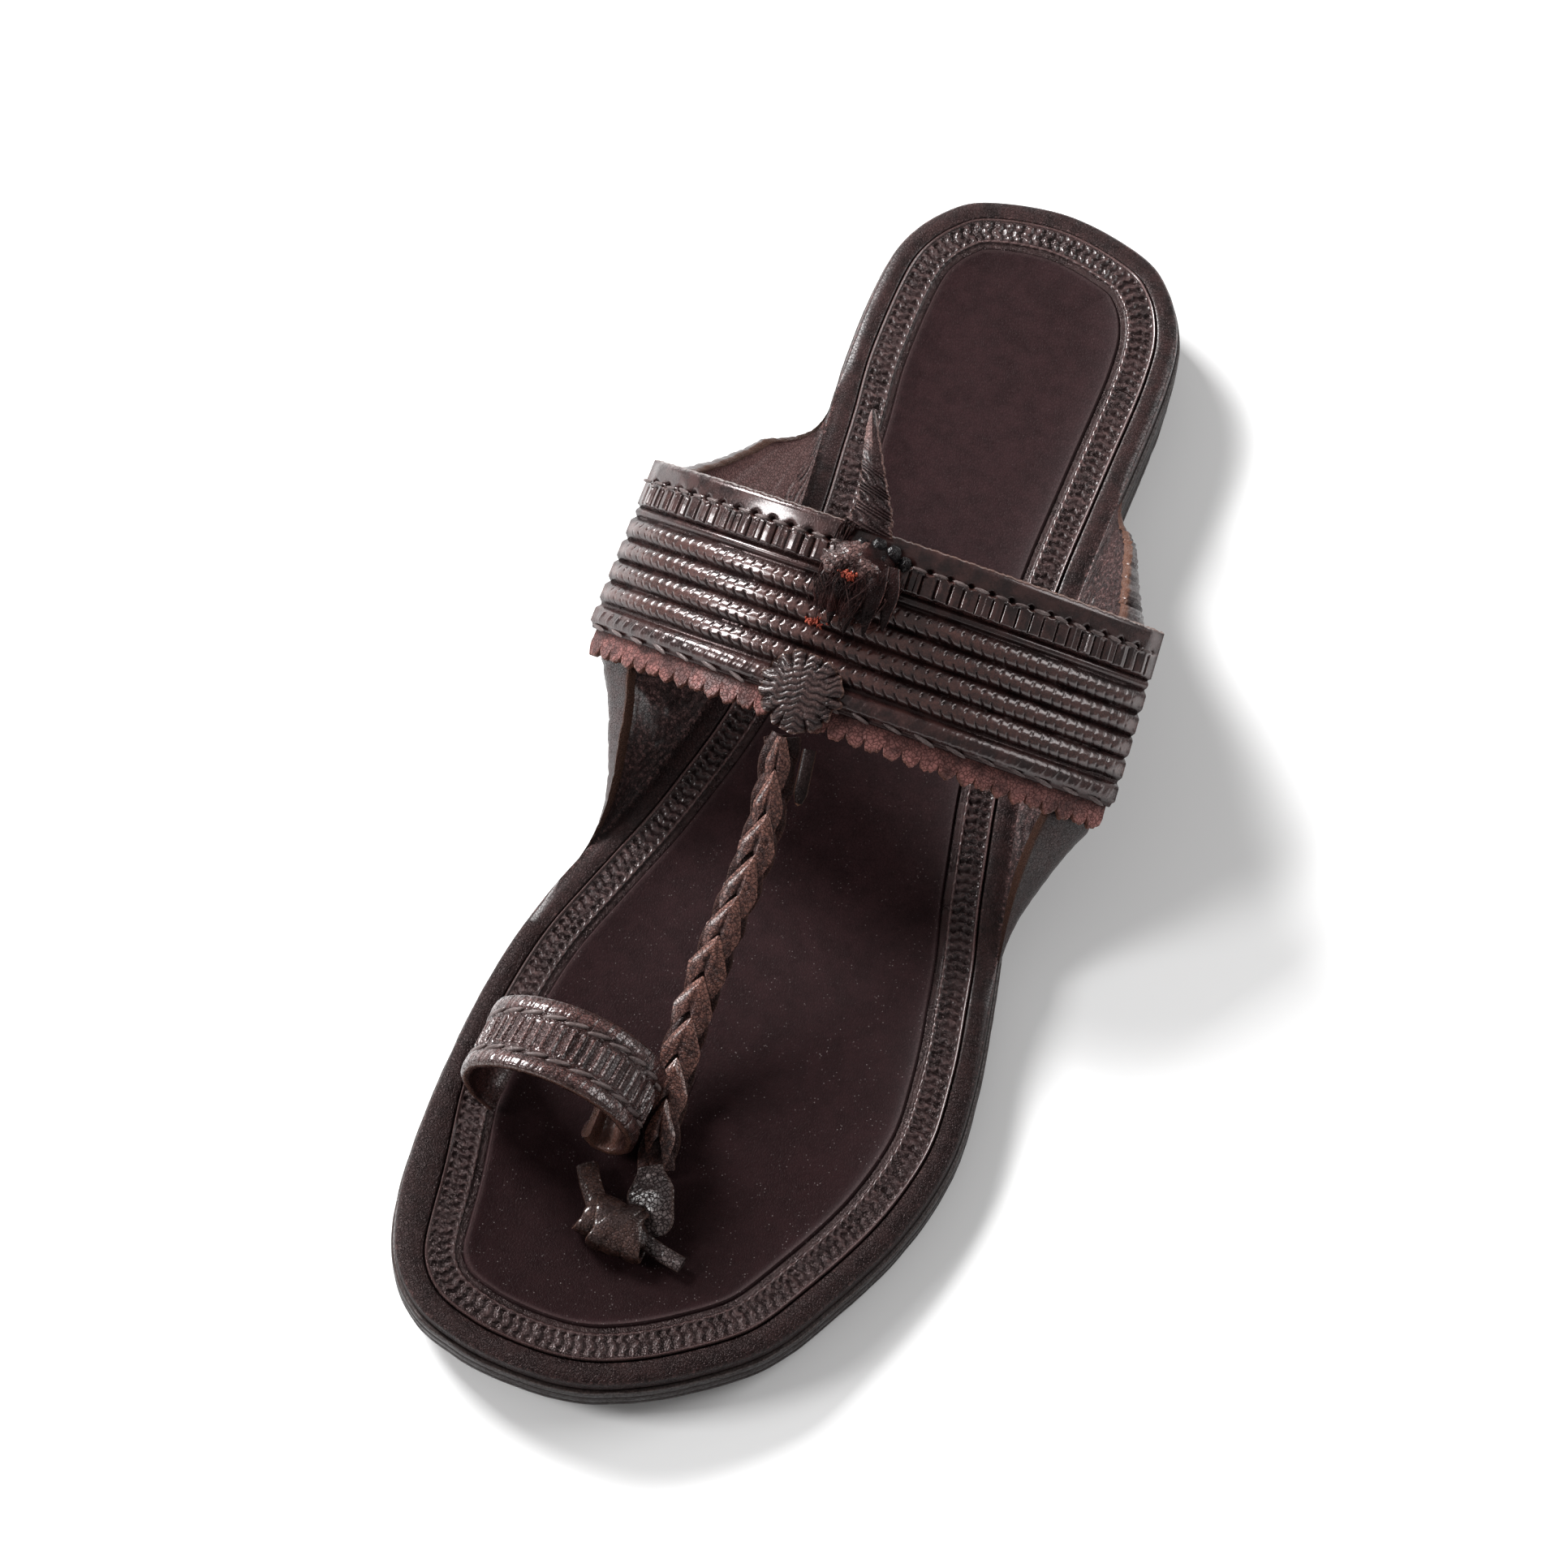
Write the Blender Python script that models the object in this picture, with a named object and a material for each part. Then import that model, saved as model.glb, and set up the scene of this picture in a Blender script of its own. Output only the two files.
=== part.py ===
"""A kolhapuri sandal, the left shoe: a toe-ring sandal of dark vegetable-tanned leather.

The toe points to -Y, the outer (little toe) side is +X, and the shoe stands on z = 0. All sizes below are in
millimetres, and new_object turns them into Blender's metres. A station is the distance from the heel's end.
"""

import math

import bmesh
import bpy
import numpy as np

MM = 0.001
GAP = 0.3

# Sole and last
LENGTH = 280.0
HALF = LENGTH / 2
OUTSOLE_THICKNESS = 7.0
INSOLE_THICKNESS = 3.0
LIFT_HEIGHT = 8.0
LIFT_LENGTH = 76.0
HEEL_FLAT_END = 80.0
FOREFOOT_START = 165.0
TOE_BREAK = 205.0
TOE_SPRING = 6.0
TOE_SPRING_POWER = 1.8
# The outline's own axis lies this far from the middle of the whole shoe's width.
AXIS_X = 1.97

# Sole outline: station, x of the big toe side, x of the little toe side
OUTLINE = (
    (3.5, -23.3, 11.6),
    (10.0, -31.4, 20.2),
    (20.0, -36.4, 25.8),
    (32.0, -37.5, 27.9),
    (50.0, -36.6, 28.5),
    (70.0, -34.0, 28.6),
    (90.0, -31.6, 29.2),
    (110.0, -31.0, 30.7),
    (130.0, -32.4, 33.8),
    (150.0, -36.2, 38.6),
    (170.0, -41.6, 43.7),
    (190.0, -47.0, 47.8),
    (207.0, -49.0, 49.1),
    (225.0, -49.0, 46.0),
    (243.0, -47.6, 39.1),
    (257.0, -45.0, 31.8),
    (268.0, -40.2, 20.4),
    (275.5, -32.4, 9.0),
    (279.0, -22.5, -0.6),
)
HEEL_TIP_X = -6.0
TOE_TIP_X = -12.0

# Insole: its edge sits inside the outsole's, then come a rolled margin and the embossed border
INSOLE_SETBACK = 0.8
MARGIN = 4.6
TOE_MARGIN_EXTRA = 2.6
TOE_MARGIN_STATION = 250.0
TOE_MARGIN_REACH = 26.0
BORDER_WIDTH = 7.4
GROOVE_WIDTH = 1.2
GROOVE_DEPTH = 0.7
DISH_DEPTH = 1.0
INSOLE_POINTS = 104

# Instep strap: one curved surface, straight along its width, laid over the instep and leaning to the toe
STRAP_TILT = math.radians(28.0)
STRAP_TURN = math.radians(1.2)
STRAP_FRONT = np.array((-1.6, -11.3, 50.0))
STRAP_HALF = 52.2
STRAP_FLARE = 2.0
STRAP_DROP = 24.0
STRAP_POWER = 2.4
STRAP_WIDTH = 39.8
COVER_FRONT = 35.2
COVER_INSIDE = -1.2
LINING_TOP = -1.5
LINING_THICKNESS = 1.3
SCALLOP_COUNT = 32
SCALLOP_ROOT = 38.2
SCALLOP_DEPTH = 2.1

# Relief of the strap's leather: distance from the strap's rear edge, height over its mean surface
TOP_STRIP = (
    (0.0, 0.2),
    (0.7, 1.3),
    (4.6, 1.1),
    (9.0, 1.4),
    (9.4, 0.9),
    (9.7, -0.2),
    (10.7, 0.45),
    (11.8, -0.35),
)
CORD_START = 11.9
CORD_PITCH = 4.5
CORD_COUNT = 4
CORD = ((1.0, 0.7), (2.25, 1.05), (3.5, 0.7), (4.4, -0.35))
PLAIN_BAND = ((30.9, 0.7), (32.2, 1.0), (33.5, 0.7), (34.5, -0.3))

# Side flaps (ears) of the insole: the flap's root on the sole's edge, and its free edge's rise over the sole
FLAP_THICKNESS = 2.0
FLAP_CLEARANCE = 0.3
FLAP_LAP = 12.0
FLAP_FRONT_LAP = 5.5
FLAP_REAR_LAP = 2.0
FLAP_LINES = 8
# side of the shoe, then for the flap's front and rear: its root's station, its edge's power of rise and of lean
FLAPS = (
    (-1, (191.0, 1.5, 0.5), (50.0, 1.7, -0.4)),
    (1, (174.0, 1.2, 0.2), (53.0, 1.1, 0.0)),
)

# Toe ring: mid-width section of its outer face, x and z, from the outer foot over the toe to the curled inner foot
RING_SECTION = (
    (-36.2, 11.9),
    (-39.6, 15.4),
    (-41.4, 21.5),
    (-39.4, 28.6),
    (-33.0, 33.9),
    (-24.6, 36.0),
    (-16.2, 34.4),
    (-10.0, 29.6),
    (-7.0, 23.0),
    (-7.6, 16.6),
    (-10.8, 13.0),
    (-14.6, 13.2),
    (-16.8, 16.2),
)
RING_REAR_Y = -75.4
RING_WIDTH = 17.0
RING_WALL = 1.7
RING_MARGIN = 4.4
RING_RELIEF = 0.45
RING_LEAN = 0.11
RING_TUCK = 2.6

# Braided thong: x, y and z of its middle, from the strap to the toe post
BRAID_PATH = (
    (-9.0, -13.6, 47.6),
    (-7.5, -20.4, 43.6),
    (-6.3, -30.0, 38.2),
    (-6.4, -38.6, 33.4),
    (-6.9, -47.6, 28.2),
    (-7.1, -54.0, 24.2),
    (-7.2, -60.0, 20.6),
    (-6.8, -67.2, 17.3),
    (-5.7, -74.8, 15.1),
    (-4.7, -81.4, 14.0),
    (-3.2, -87.4, 13.0),
    (-2.2, -91.2, 12.4),
)
BRAID_WIDTH = 6.6
BRAID_THICKNESS = 3.4
BRAID_SCALE = 7.2

# Pompom on the strap's middle: share of its length, half width as a share of the widest
POMPOM_PROFILE = (
    (0.0, 0.30),
    (0.05, 0.62),
    (0.14, 0.88),
    (0.28, 1.0),
    (0.42, 1.0),
    (0.56, 0.97),
    (0.70, 0.93),
    (0.82, 0.88),
    (0.92, 0.80),
    (1.0, 0.62),
)
POMPOM_X = -1.6
POMPOM_START = 2.8
POMPOM_LENGTH = 15.6
POMPOM_WIDTH = 14.8
POMPOM_HEIGHT = 10.0
POMPOM_LOCKS = 9
BEAD_COUNT = 3
BEAD_RADIUS = 1.9

# Leaf tab: share of its length from the strap's rear edge, x of its middle on the strap, half width
LEAF = (
    (0.0, -4.6, 4.9),
    (0.08, -4.3, 4.2),
    (0.18, -4.3, 3.6),
    (0.32, -5.4, 3.0),
    (0.48, -6.8, 2.4),
    (0.64, -8.2, 1.9),
    (0.80, -9.7, 1.3),
    (0.92, -10.7, 0.8),
    (1.0, -11.3, 0.3),
)
LEAF_START = 0.8
LEAF_LENGTH = 22.0

# Knot at the toe: size and middle of its lump, then each strip's route, half width and half thickness
KNOT_SIZE = (14.6, 8.8, 6.0)
KNOT_CENTRE = (-4.2, -105.8, 14.6)
KNOT_STRIPS = (
    ("thong", ((-14.4, -95.6, 13.0), (-12.0, -99.4, 13.8), (-8.2, -104.2, 15.4)), 2.1, 1.0),
    ("tab", ((-0.2, -93.4, 13.6), (-0.9, -97.4, 15.2), (1.4, -102.6, 14.8)), 4.6, 0.8),
    ("tail", ((0.0, -105.6, 14.0), (5.4, -107.0, 13.8), (10.2, -107.9, 13.9)), 1.6, 1.0),
)


def smooth(value):
    value = np.clip(value, 0.0, 1.0)
    return value * value * (3.0 - 2.0 * value)


def underside(y):
    """Height of the outsole's underside over the floor at y."""
    station = HALF - np.asarray(y, float)
    fall = smooth((station - HEEL_FLAT_END) / (FOREFOOT_START - HEEL_FLAT_END))
    heel = (LIFT_HEIGHT + GAP) * (1.0 - fall)
    toe = np.clip((station - TOE_BREAK) / (LENGTH - TOE_BREAK), 0.0, None)
    return heel + TOE_SPRING * toe**TOE_SPRING_POWER


def insole_top(y):
    return underside(y) + OUTSOLE_THICKNESS + GAP + INSOLE_THICKNESS


def spline(points, steps, closed=False):
    """A smooth curve through the points, with the given number of steps between each two of them."""
    points = np.asarray(points, float)
    if closed:
        padded = np.vstack((points[-1:], points, points[:2]))
    else:
        padded = np.vstack((2 * points[0] - points[1], points, 2 * points[-1] - points[-2]))
    curve = []
    t = np.linspace(0.0, 1.0, steps, endpoint=False)[:, None]
    for a, b, c, d in zip(padded[:-3], padded[1:-2], padded[2:-1], padded[3:]):
        curve.append(
            b + 0.5 * t * (c - a + t * (2 * a - 5 * b + 4 * c - d + t * (3 * (b - c) + d - a)))
        )
    if not closed:
        curve.append(points[-1:])
    return np.vstack(curve)


def even(curve, count, closed=False):
    """The curve again, with this many points at equal distances along it."""
    ring = np.vstack((curve, curve[:1])) if closed else curve
    length = np.concatenate(([0.0], np.cumsum(np.linalg.norm(np.diff(ring, axis=0), axis=1))))
    at = np.linspace(0.0, length[-1], count, endpoint=not closed)
    return np.column_stack([np.interp(at, length, ring[:, k]) for k in range(ring.shape[1])])


def sole_outline(count):
    """The sole's outline, counter-clockwise from the heel's end, and its outward normals."""
    inner = [(row[1], HALF - row[0]) for row in OUTLINE]
    outer = [(row[2], HALF - row[0]) for row in reversed(OUTLINE)]
    points = [(HEEL_TIP_X, HALF), *inner, (TOE_TIP_X, -HALF), *outer]
    ring = even(spline(points, 24, closed=True), count, closed=True)
    along = np.roll(ring, -1, axis=0) - np.roll(ring, 1, axis=0)
    along /= np.linalg.norm(along, axis=1)[:, None]
    return ring, np.column_stack((along[:, 1], -along[:, 0]))


def toward_middle(ring, share):
    """The ring moved this share of the way to a line along the sole's middle."""
    y = np.clip(ring[:, 1], -HALF + 44.0, HALF - 32.0)
    middle = np.column_stack((np.interp(y, (-HALF, HALF), (-4.0, -4.0)), y))
    return ring * (1.0 - share) + middle * share


def ring_at(ring, height):
    return np.column_stack((ring, height))


def new_object(name, points, faces, colour, roughness, ngons=()):
    """One closed object from points in millimetres."""
    mesh = bpy.data.meshes.new(name)
    placed = (np.asarray(points, float) + (AXIS_X, 0.0, 0.0)) * MM
    mesh.from_pydata(placed.tolist(), [], [list(face) for face in faces] + [list(f) for f in ngons])
    work = bmesh.new()
    work.from_mesh(mesh)
    wide = [face for face in work.faces if len(face.verts) > 4]
    bmesh.ops.triangulate(work, faces=wide, quad_method="BEAUTY", ngon_method="BEAUTY")
    bmesh.ops.recalc_face_normals(work, faces=work.faces)
    work.to_mesh(mesh)
    work.free()
    mesh.shade_smooth()
    mesh.set_sharp_from_angle(angle=math.radians(40.0))
    thing = bpy.data.objects.new(name, mesh)
    bpy.context.collection.objects.link(thing)
    material = bpy.data.materials.new(name)
    material.use_nodes = True
    shader = material.node_tree.nodes["Principled BSDF"]
    shader.inputs["Base Color"].default_value = (*colour, 1.0)
    shader.inputs["Roughness"].default_value = roughness
    mesh.materials.append(material)
    return thing


def stacked_rings(rings):
    """Points, quads and the two end caps of closed rings that run from one cap to the other."""
    count = len(rings[0])
    faces = []
    for level in range(len(rings) - 1):
        for k in range(count):
            after = (k + 1) % count
            low = level * count
            faces.append((low + k, low + after, low + count + after, low + count + k))
    last = (len(rings) - 1) * count
    caps = (list(range(count)), list(range(last + count - 1, last - 1, -1)))
    return np.vstack(rings), faces, caps


def strip_loft(sections):
    """Points, quads and end caps of closed sections placed one after another."""
    sections = np.asarray(sections, float)
    count = sections.shape[1]
    faces = []
    for row in range(len(sections) - 1):
        for k in range(count):
            after = (k + 1) % count
            low = row * count
            faces.append((low + k, low + after, low + count + after, low + count + k))
    last = (len(sections) - 1) * count
    caps = (list(range(count)), list(range(last + count - 1, last - 1, -1)))
    return sections.reshape(-1, 3), faces, caps


def outsole():
    ring, normal = sole_outline(84)
    rings = []
    for share, inset, lift in (
        (0.85, 0.0, OUTSOLE_THICKNESS),
        (0.40, 0.0, OUTSOLE_THICKNESS),
        (0.0, 0.7, OUTSOLE_THICKNESS),
        (0.0, 0.0, OUTSOLE_THICKNESS - 0.8),
        (0.0, 0.0, 1.4),
        (0.0, 1.3, 0.0),
        (0.40, 0.0, 0.0),
        (0.85, 0.0, 0.0),
    ):
        flat = toward_middle(ring - normal * inset, share)
        rings.append(ring_at(flat, underside(flat[:, 1]) + lift))
    points, faces, caps = stacked_rings(rings)
    return new_object("outsole", points, faces, (0.016, 0.011, 0.010), 0.45, caps)


def heel_lift():
    ring, normal = sole_outline(120)
    ring = ring - normal * 0.5
    keep = ring[:, 1] > HALF - LIFT_LENGTH
    start = int(np.argmax(~keep))
    ring = np.roll(ring, -start, axis=0)
    ring = ring[np.roll(keep, -start)]
    breast = HALF - LIFT_LENGTH
    ends = np.array(((ring[0, 0], breast), (ring[-1, 0], breast)))
    ring = np.vstack((ends[:1], ring, ends[1:]))
    centre = np.array((HEEL_TIP_X, HALF - LIFT_LENGTH / 2))
    rings = []
    for inset, height in ((0.7, 0.0), (0.0, 0.7), (0.0, LIFT_HEIGHT - 0.3), (0.3, LIFT_HEIGHT)):
        away = ring - centre
        away *= 1.0 - inset / np.linalg.norm(away, axis=1)[:, None]
        rings.append(ring_at(centre + away, np.full(len(ring), height)))
    points, faces, caps = stacked_rings(rings)
    return new_object("heel_lift", points, faces, (0.018, 0.010, 0.008), 0.5, caps)


def strap_frame():
    """Unit vectors of the strap: across the foot, along its width to the heel, and out of the foot."""
    width = np.array(
        (
            -math.sin(STRAP_TURN) * math.cos(STRAP_TILT),
            math.cos(STRAP_TURN) * math.cos(STRAP_TILT),
            math.sin(STRAP_TILT),
        )
    )
    across = np.array((math.cos(STRAP_TURN), math.sin(STRAP_TURN), 0.0))
    return across, width, np.cross(across, width)


def strap_point(side, from_rear, height):
    """A point over the strap: side runs from -1 to 1 across it, from_rear and height are millimetres."""
    across, width, out = strap_frame()
    share = 1.0 - from_rear / STRAP_WIDTH
    half = STRAP_HALF + STRAP_FLARE * (1.0 - share)
    fall = -STRAP_DROP * abs(side) ** STRAP_POWER
    slope = -STRAP_DROP * STRAP_POWER * abs(side) ** (STRAP_POWER - 1.0) * np.sign(side) / half
    normal = (out - slope * across) / math.hypot(1.0, slope)
    middle = STRAP_FRONT + width * (STRAP_WIDTH - from_rear)
    return middle + across * (side * half) + out * fall + normal * height


def strap_relief():
    """The strap leather's outer profile, from its rear edge to its front edge."""
    rows = list(TOP_STRIP)
    for cord in range(CORD_COUNT):
        rows += [(CORD_START + cord * CORD_PITCH + at, height) for at, height in CORD]
    rows += list(PLAIN_BAND)
    rows.append((COVER_FRONT, -0.35))
    return rows


def instep_strap():
    profile = strap_relief() + [(COVER_FRONT, COVER_INSIDE), (0.0, COVER_INSIDE)]
    sections = []
    for side in np.sin(np.linspace(-1.0, 1.0, 29) * 1.25) / math.sin(1.25):
        sections.append([strap_point(side, at, height) for at, height in profile])
    points, faces, caps = strip_loft(sections)
    return new_object("instep_strap", points, faces, (0.030, 0.018, 0.016), 0.4, caps)


def strap_sides(count):
    """Side values that lie at equal distances along the strap's curve."""
    fine = np.linspace(-1.0, 1.0, 401)
    curve = np.array([strap_point(side, STRAP_WIDTH, 0.0) for side in fine])
    length = np.concatenate(([0.0], np.cumsum(np.linalg.norm(np.diff(curve, axis=0), axis=1))))
    return np.interp(np.linspace(0.0, length[-1], count), length, fine)


def strap_lining():
    """The thin inner leather, whose front edge is cut in round scallops."""
    shares = (0.0, 0.18, 0.5, 0.82)
    places = strap_sides(SCALLOP_COUNT * len(shares) * 5 + 1)
    sections = []
    for scallop in range(SCALLOP_COUNT):
        for share in shares:
            place = (scallop + share) / SCALLOP_COUNT * (len(places) - 1)
            side = np.interp(place, np.arange(len(places)), places)
            front = SCALLOP_ROOT + SCALLOP_DEPTH * math.sqrt(1.0 - (2.0 * share - 1.0) ** 2)
            sections.append(lining_section(side, front))
    sections.append(lining_section(1.0, SCALLOP_ROOT))
    points, faces, caps = strip_loft(sections)
    return new_object("strap_lining", points, faces, (0.055, 0.022, 0.016), 0.6, caps)


def lining_section(side, front):
    bottom = LINING_TOP - LINING_THICKNESS
    corners = ((0.5, LINING_TOP), (front, LINING_TOP), (front, bottom), (0.5, bottom))
    return [strap_point(side, at, height) for at, height in corners]


def bezier(handles, count):
    """Points of a cubic Bezier curve."""
    t = np.linspace(0.0, 1.0, count)[:, None]
    weights = ((1 - t) ** 3, 3 * (1 - t) ** 2 * t, 3 * (1 - t) * t**2, t**3)
    return sum(weight * point for weight, point in zip(weights, handles))


def flap_path(side, root, front, rear):
    """One line up a side flap's inner face, from the insole's edge to the flap's free end.

    Between the strap's edges the flap bends over and laps under the strap. Outside them it tapers down.
    """
    depth = LINING_TOP - LINING_THICKNESS - FLAP_CLEARANCE - FLAP_THICKNESS
    start = 1.0 - 3.0 / STRAP_HALF
    rear_y = strap_point(side * start, 0.0, depth)[1]
    front_y = strap_point(side * start, STRAP_WIDTH, depth)[1]
    y = float(np.clip(root[1], front_y, rear_y))
    from_rear = STRAP_WIDTH * (rear_y - y) / (rear_y - front_y)
    across = abs(2.0 * from_rear / STRAP_WIDTH - 1.0)
    edge = FLAP_REAR_LAP + (FLAP_FRONT_LAP - FLAP_REAR_LAP) * from_rear / STRAP_WIDTH
    lap = edge + (FLAP_LAP - edge) * math.sqrt(max(1.0 - across**3, 0.0))
    span = np.linspace(start, start - lap / STRAP_HALF, 5)
    under = np.array([strap_point(side * k, from_rear, depth) for k in span])
    end, power, lean = front if root[1] < y else rear
    share = 1.0 if root[1] == y else (end - root[1]) / (end - y)
    share = max(share, 0.02)
    corner = under[0] - under[1]
    corner /= np.linalg.norm(corner)
    base = np.array((root[0], y, root[2]))
    rise = under[0, 2] - root[2]
    handles = np.array(
        (
            base,
            base + (side * 8.0, 0.0, 0.26 * rise),
            under[0] + corner * 7.5,
            under[0],
        )
    )
    line = np.vstack((bezier(handles, 24), under[1:]))
    line = even(line, FLAP_LINES)
    line = root + (line - base) * share**power * (share**lean, 1.0, 1.0)
    tip = line[-1] - root
    straight = root + np.linspace(0.0, 1.0, FLAP_LINES)[:, None] * tip
    return straight + (line - straight) * share**0.6


def flap_faces(points, faces, columns, top_rim, bottom_rim, inner, outer):
    """Joins one flap's inner and outer grids to the insole's rim. The end columns are the rim's own points."""
    base = len(points)
    steps = inner.shape[1] - 1
    points.extend(inner[1:-1, 1:].reshape(-1, 3).tolist())
    points.extend(outer[1:-1, 1:].reshape(-1, 3).tolist())
    outer_base = base + (columns - 2) * steps

    def at(column, step, rim, start):
        if step == 0 or column in (0, columns - 1):
            return rim[column]
        return start + (column - 1) * steps + step - 1

    def add(*corners):
        kept = list(dict.fromkeys(corners))
        if len(kept) > 2:
            faces.append(tuple(kept))

    for column in range(columns - 1):
        for step in range(steps):
            for rim, start in ((top_rim, base), (bottom_rim, outer_base)):
                add(
                    at(column, step, rim, start),
                    at(column, step + 1, rim, start),
                    at(column + 1, step + 1, rim, start),
                    at(column + 1, step, rim, start),
                )
        add(
            at(column, steps, top_rim, base),
            at(column, steps, bottom_rim, outer_base),
            at(column + 1, steps, bottom_rim, outer_base),
            at(column + 1, steps, top_rim, base),
        )


def insole():
    """The top sole: a rolled margin, a border between two grooves, a dished middle and the two side flaps."""
    ring, normal = sole_outline(INSOLE_POINTS)
    ring = ring - normal * INSOLE_SETBACK
    station = HALF - ring[:, 1]
    near_toe = np.clip(1.0 - np.abs(station - TOE_MARGIN_STATION) / TOE_MARGIN_REACH, 0.0, 1.0)
    margin = MARGIN + TOE_MARGIN_EXTRA * smooth(near_toe) * (ring[:, 0] < 0)
    flap = np.zeros(INSOLE_POINTS)
    spans = []
    for side, front, rear in FLAPS:
        held = (ring[:, 0] * side > 0) & (station < front[0]) & (station > rear[0])
        picked = np.flatnonzero(held)
        spans.append((side, picked, front[1:], rear[1:]))
        middle = (front[0] + rear[0]) / 2
        reach = (front[0] - rear[0]) / 2
        flap += held * smooth((reach - np.abs(station - middle)) / 12.0)
    roll = 1.0 - flap
    border = margin + BORDER_WIDTH
    half_groove = GROOVE_WIDTH / 2
    rings = []
    for share, inset, drop in (
        (0.85, 13.0, DISH_DEPTH),
        (0.45, 13.0, DISH_DEPTH),
        (0.0, border + 2.2, 0.35),
        (0.0, border + half_groove, 0.1),
        (0.0, border, GROOVE_DEPTH),
        (0.0, border - half_groove, 0.1),
        (0.0, margin + half_groove, 0.1),
        (0.0, margin, GROOVE_DEPTH),
        (0.0, margin - half_groove, 0.15),
        (0.0, 1.5, 0.0),
        (0.0, 0.0, roll * 1.1),
        (0.0, 0.0, INSOLE_THICKNESS),
        (0.40, 0.0, INSOLE_THICKNESS),
        (0.85, 0.0, INSOLE_THICKNESS),
    ):
        inset = np.broadcast_to(inset, INSOLE_POINTS)[:, None]
        flat = toward_middle(ring - normal * inset, share)
        rings.append(ring_at(flat, insole_top(flat[:, 1]) - drop))
    top, bottom = 10, 11
    points, faces, caps = stacked_rings(rings)
    points = points.tolist()
    wall = set()
    for side, picked, front, rear in spans:
        columns = len(picked)
        wall.update(picked[:-1].tolist())
        roots = rings[top][picked]
        front = (roots[:, 1].min(), *front)
        rear = (roots[:, 1].max(), *rear)
        inner = np.array([flap_path(side, root, front, rear) for root in roots])
        upward = np.gradient(inner, axis=1)
        width = strap_frame()[1]
        lean = np.linspace(0.0, 1.0, FLAP_LINES)[:, None]
        along = (1.0 - lean) * np.array((0.0, 1.0, 0.0)) + lean * width
        outward = np.cross(upward, along[None]) * -side
        outward /= np.linalg.norm(outward, axis=2)[:, :, None]
        outer = inner + outward * FLAP_THICKNESS
        below = (picked + bottom * INSOLE_POINTS).tolist()
        above = (picked + top * INSOLE_POINTS).tolist()
        flap_faces(points, faces, columns, above, below, inner, outer)
    start = top * INSOLE_POINTS
    faces = [
        face for face in faces if not (face[0] - start in wall and face[-1] == face[0] + INSOLE_POINTS)
    ]
    return new_object("insole", points, faces, (0.032, 0.020, 0.019), 0.5, caps)


def rosette():
    """A round leather disc with a pinked edge, laid over the strap's front middle."""
    centre_side = -6.4 / STRAP_HALF
    centre_at = 33.6
    radius = 8.6
    teeth = 15
    count = teeth * 2
    rings = []
    for share, lift in ((0.25, 3.0), (0.6, 2.9), (0.92, 2.6), (1.0, 2.1), (1.0, 1.5), (0.6, 1.5), (0.25, 1.5)):
        ring = []
        for k in range(count):
            angle = math.tau * k / count
            tooth = radius * (1.0 if k % 2 else 0.88) if share > 0.9 else radius
            at = centre_at + share * tooth * math.sin(angle)
            side = centre_side + share * tooth * math.cos(angle) / STRAP_HALF
            droop = 1.3 * float(smooth((at - 35.0) / 7.0))
            ring.append(strap_point(side, at, lift - droop))
        rings.append(np.array(ring))
    points, faces, caps = stacked_rings(rings)
    return new_object("rosette", points, faces, (0.032, 0.020, 0.018), 0.5, caps)


def pompom():
    """A tuft tied down at the strap's rear by a row of beads, its locks fanned toward the toe."""
    around = 3 * POMPOM_LOCKS
    rings = []
    for share, size in POMPOM_PROFILE:
        ring = []
        for k in range(around):
            angle = math.tau * k / around
            crest = math.cos(POMPOM_LOCKS * angle)
            lock = 1.0 + 0.15 * crest * float(smooth((share - 0.3) / 0.5))
            wide = POMPOM_WIDTH / 2 * size * lock * math.cos(angle)
            high = POMPOM_HEIGHT * (0.45 + 0.55 * size * lock * math.sin(angle))
            at = POMPOM_START + POMPOM_LENGTH * share + 4.5 * crest * max(share - 0.8, 0.0)
            middle = POMPOM_X - 1.6 * share
            ring.append(strap_point((middle + wide) / STRAP_HALF, at, max(high, 1.75)))
        rings.append(np.array(ring))
    points, faces, caps = stacked_rings(rings)
    tuft = new_object("pompom", points, faces, (0.040, 0.016, 0.012), 0.8, caps)
    for k in range(BEAD_COUNT):
        centre = strap_point((POMPOM_X - 2.4 + 3.1 * k) / STRAP_HALF, 3.4, 5.0 - 0.5 * k)
        rings = []
        for tilt in np.linspace(-1.3, 1.3, 6):
            ring = [
                centre
                + BEAD_RADIUS
                * np.array(
                    (
                        math.cos(tilt) * math.cos(angle),
                        math.cos(tilt) * math.sin(angle),
                        math.sin(tilt),
                    )
                )
                for angle in np.linspace(0.0, math.tau, 9)[:-1]
            ]
            rings.append(np.array(ring))
        points, faces, caps = stacked_rings(rings)
        fuse(tuft, new_object("bead", points, faces, (0.01, 0.01, 0.01), 0.2, caps))
    return tuft


def leaf_tab():
    """A long pointed tab that stands back over the strap's rear edge, its base cut in a fringe."""
    sections = []
    for share, middle, half in LEAF:
        at = LEAF_START - LEAF_LENGTH * share
        lift = 1.75 + 1.6 * share - 3.0 * share**2
        section = []
        for offset, height in ((-1.0, 0.0), (0.0, 0.5), (1.0, 0.0), (1.0, 1.2), (0.0, 1.8), (-1.0, 1.2)):
            section.append(strap_point((middle + offset * half) / STRAP_HALF, at, lift + height))
        sections.append(section)
    points, faces, caps = strip_loft(sections)
    return new_object("leaf_tab", points, faces, (0.036, 0.022, 0.020), 0.5, caps)


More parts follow.
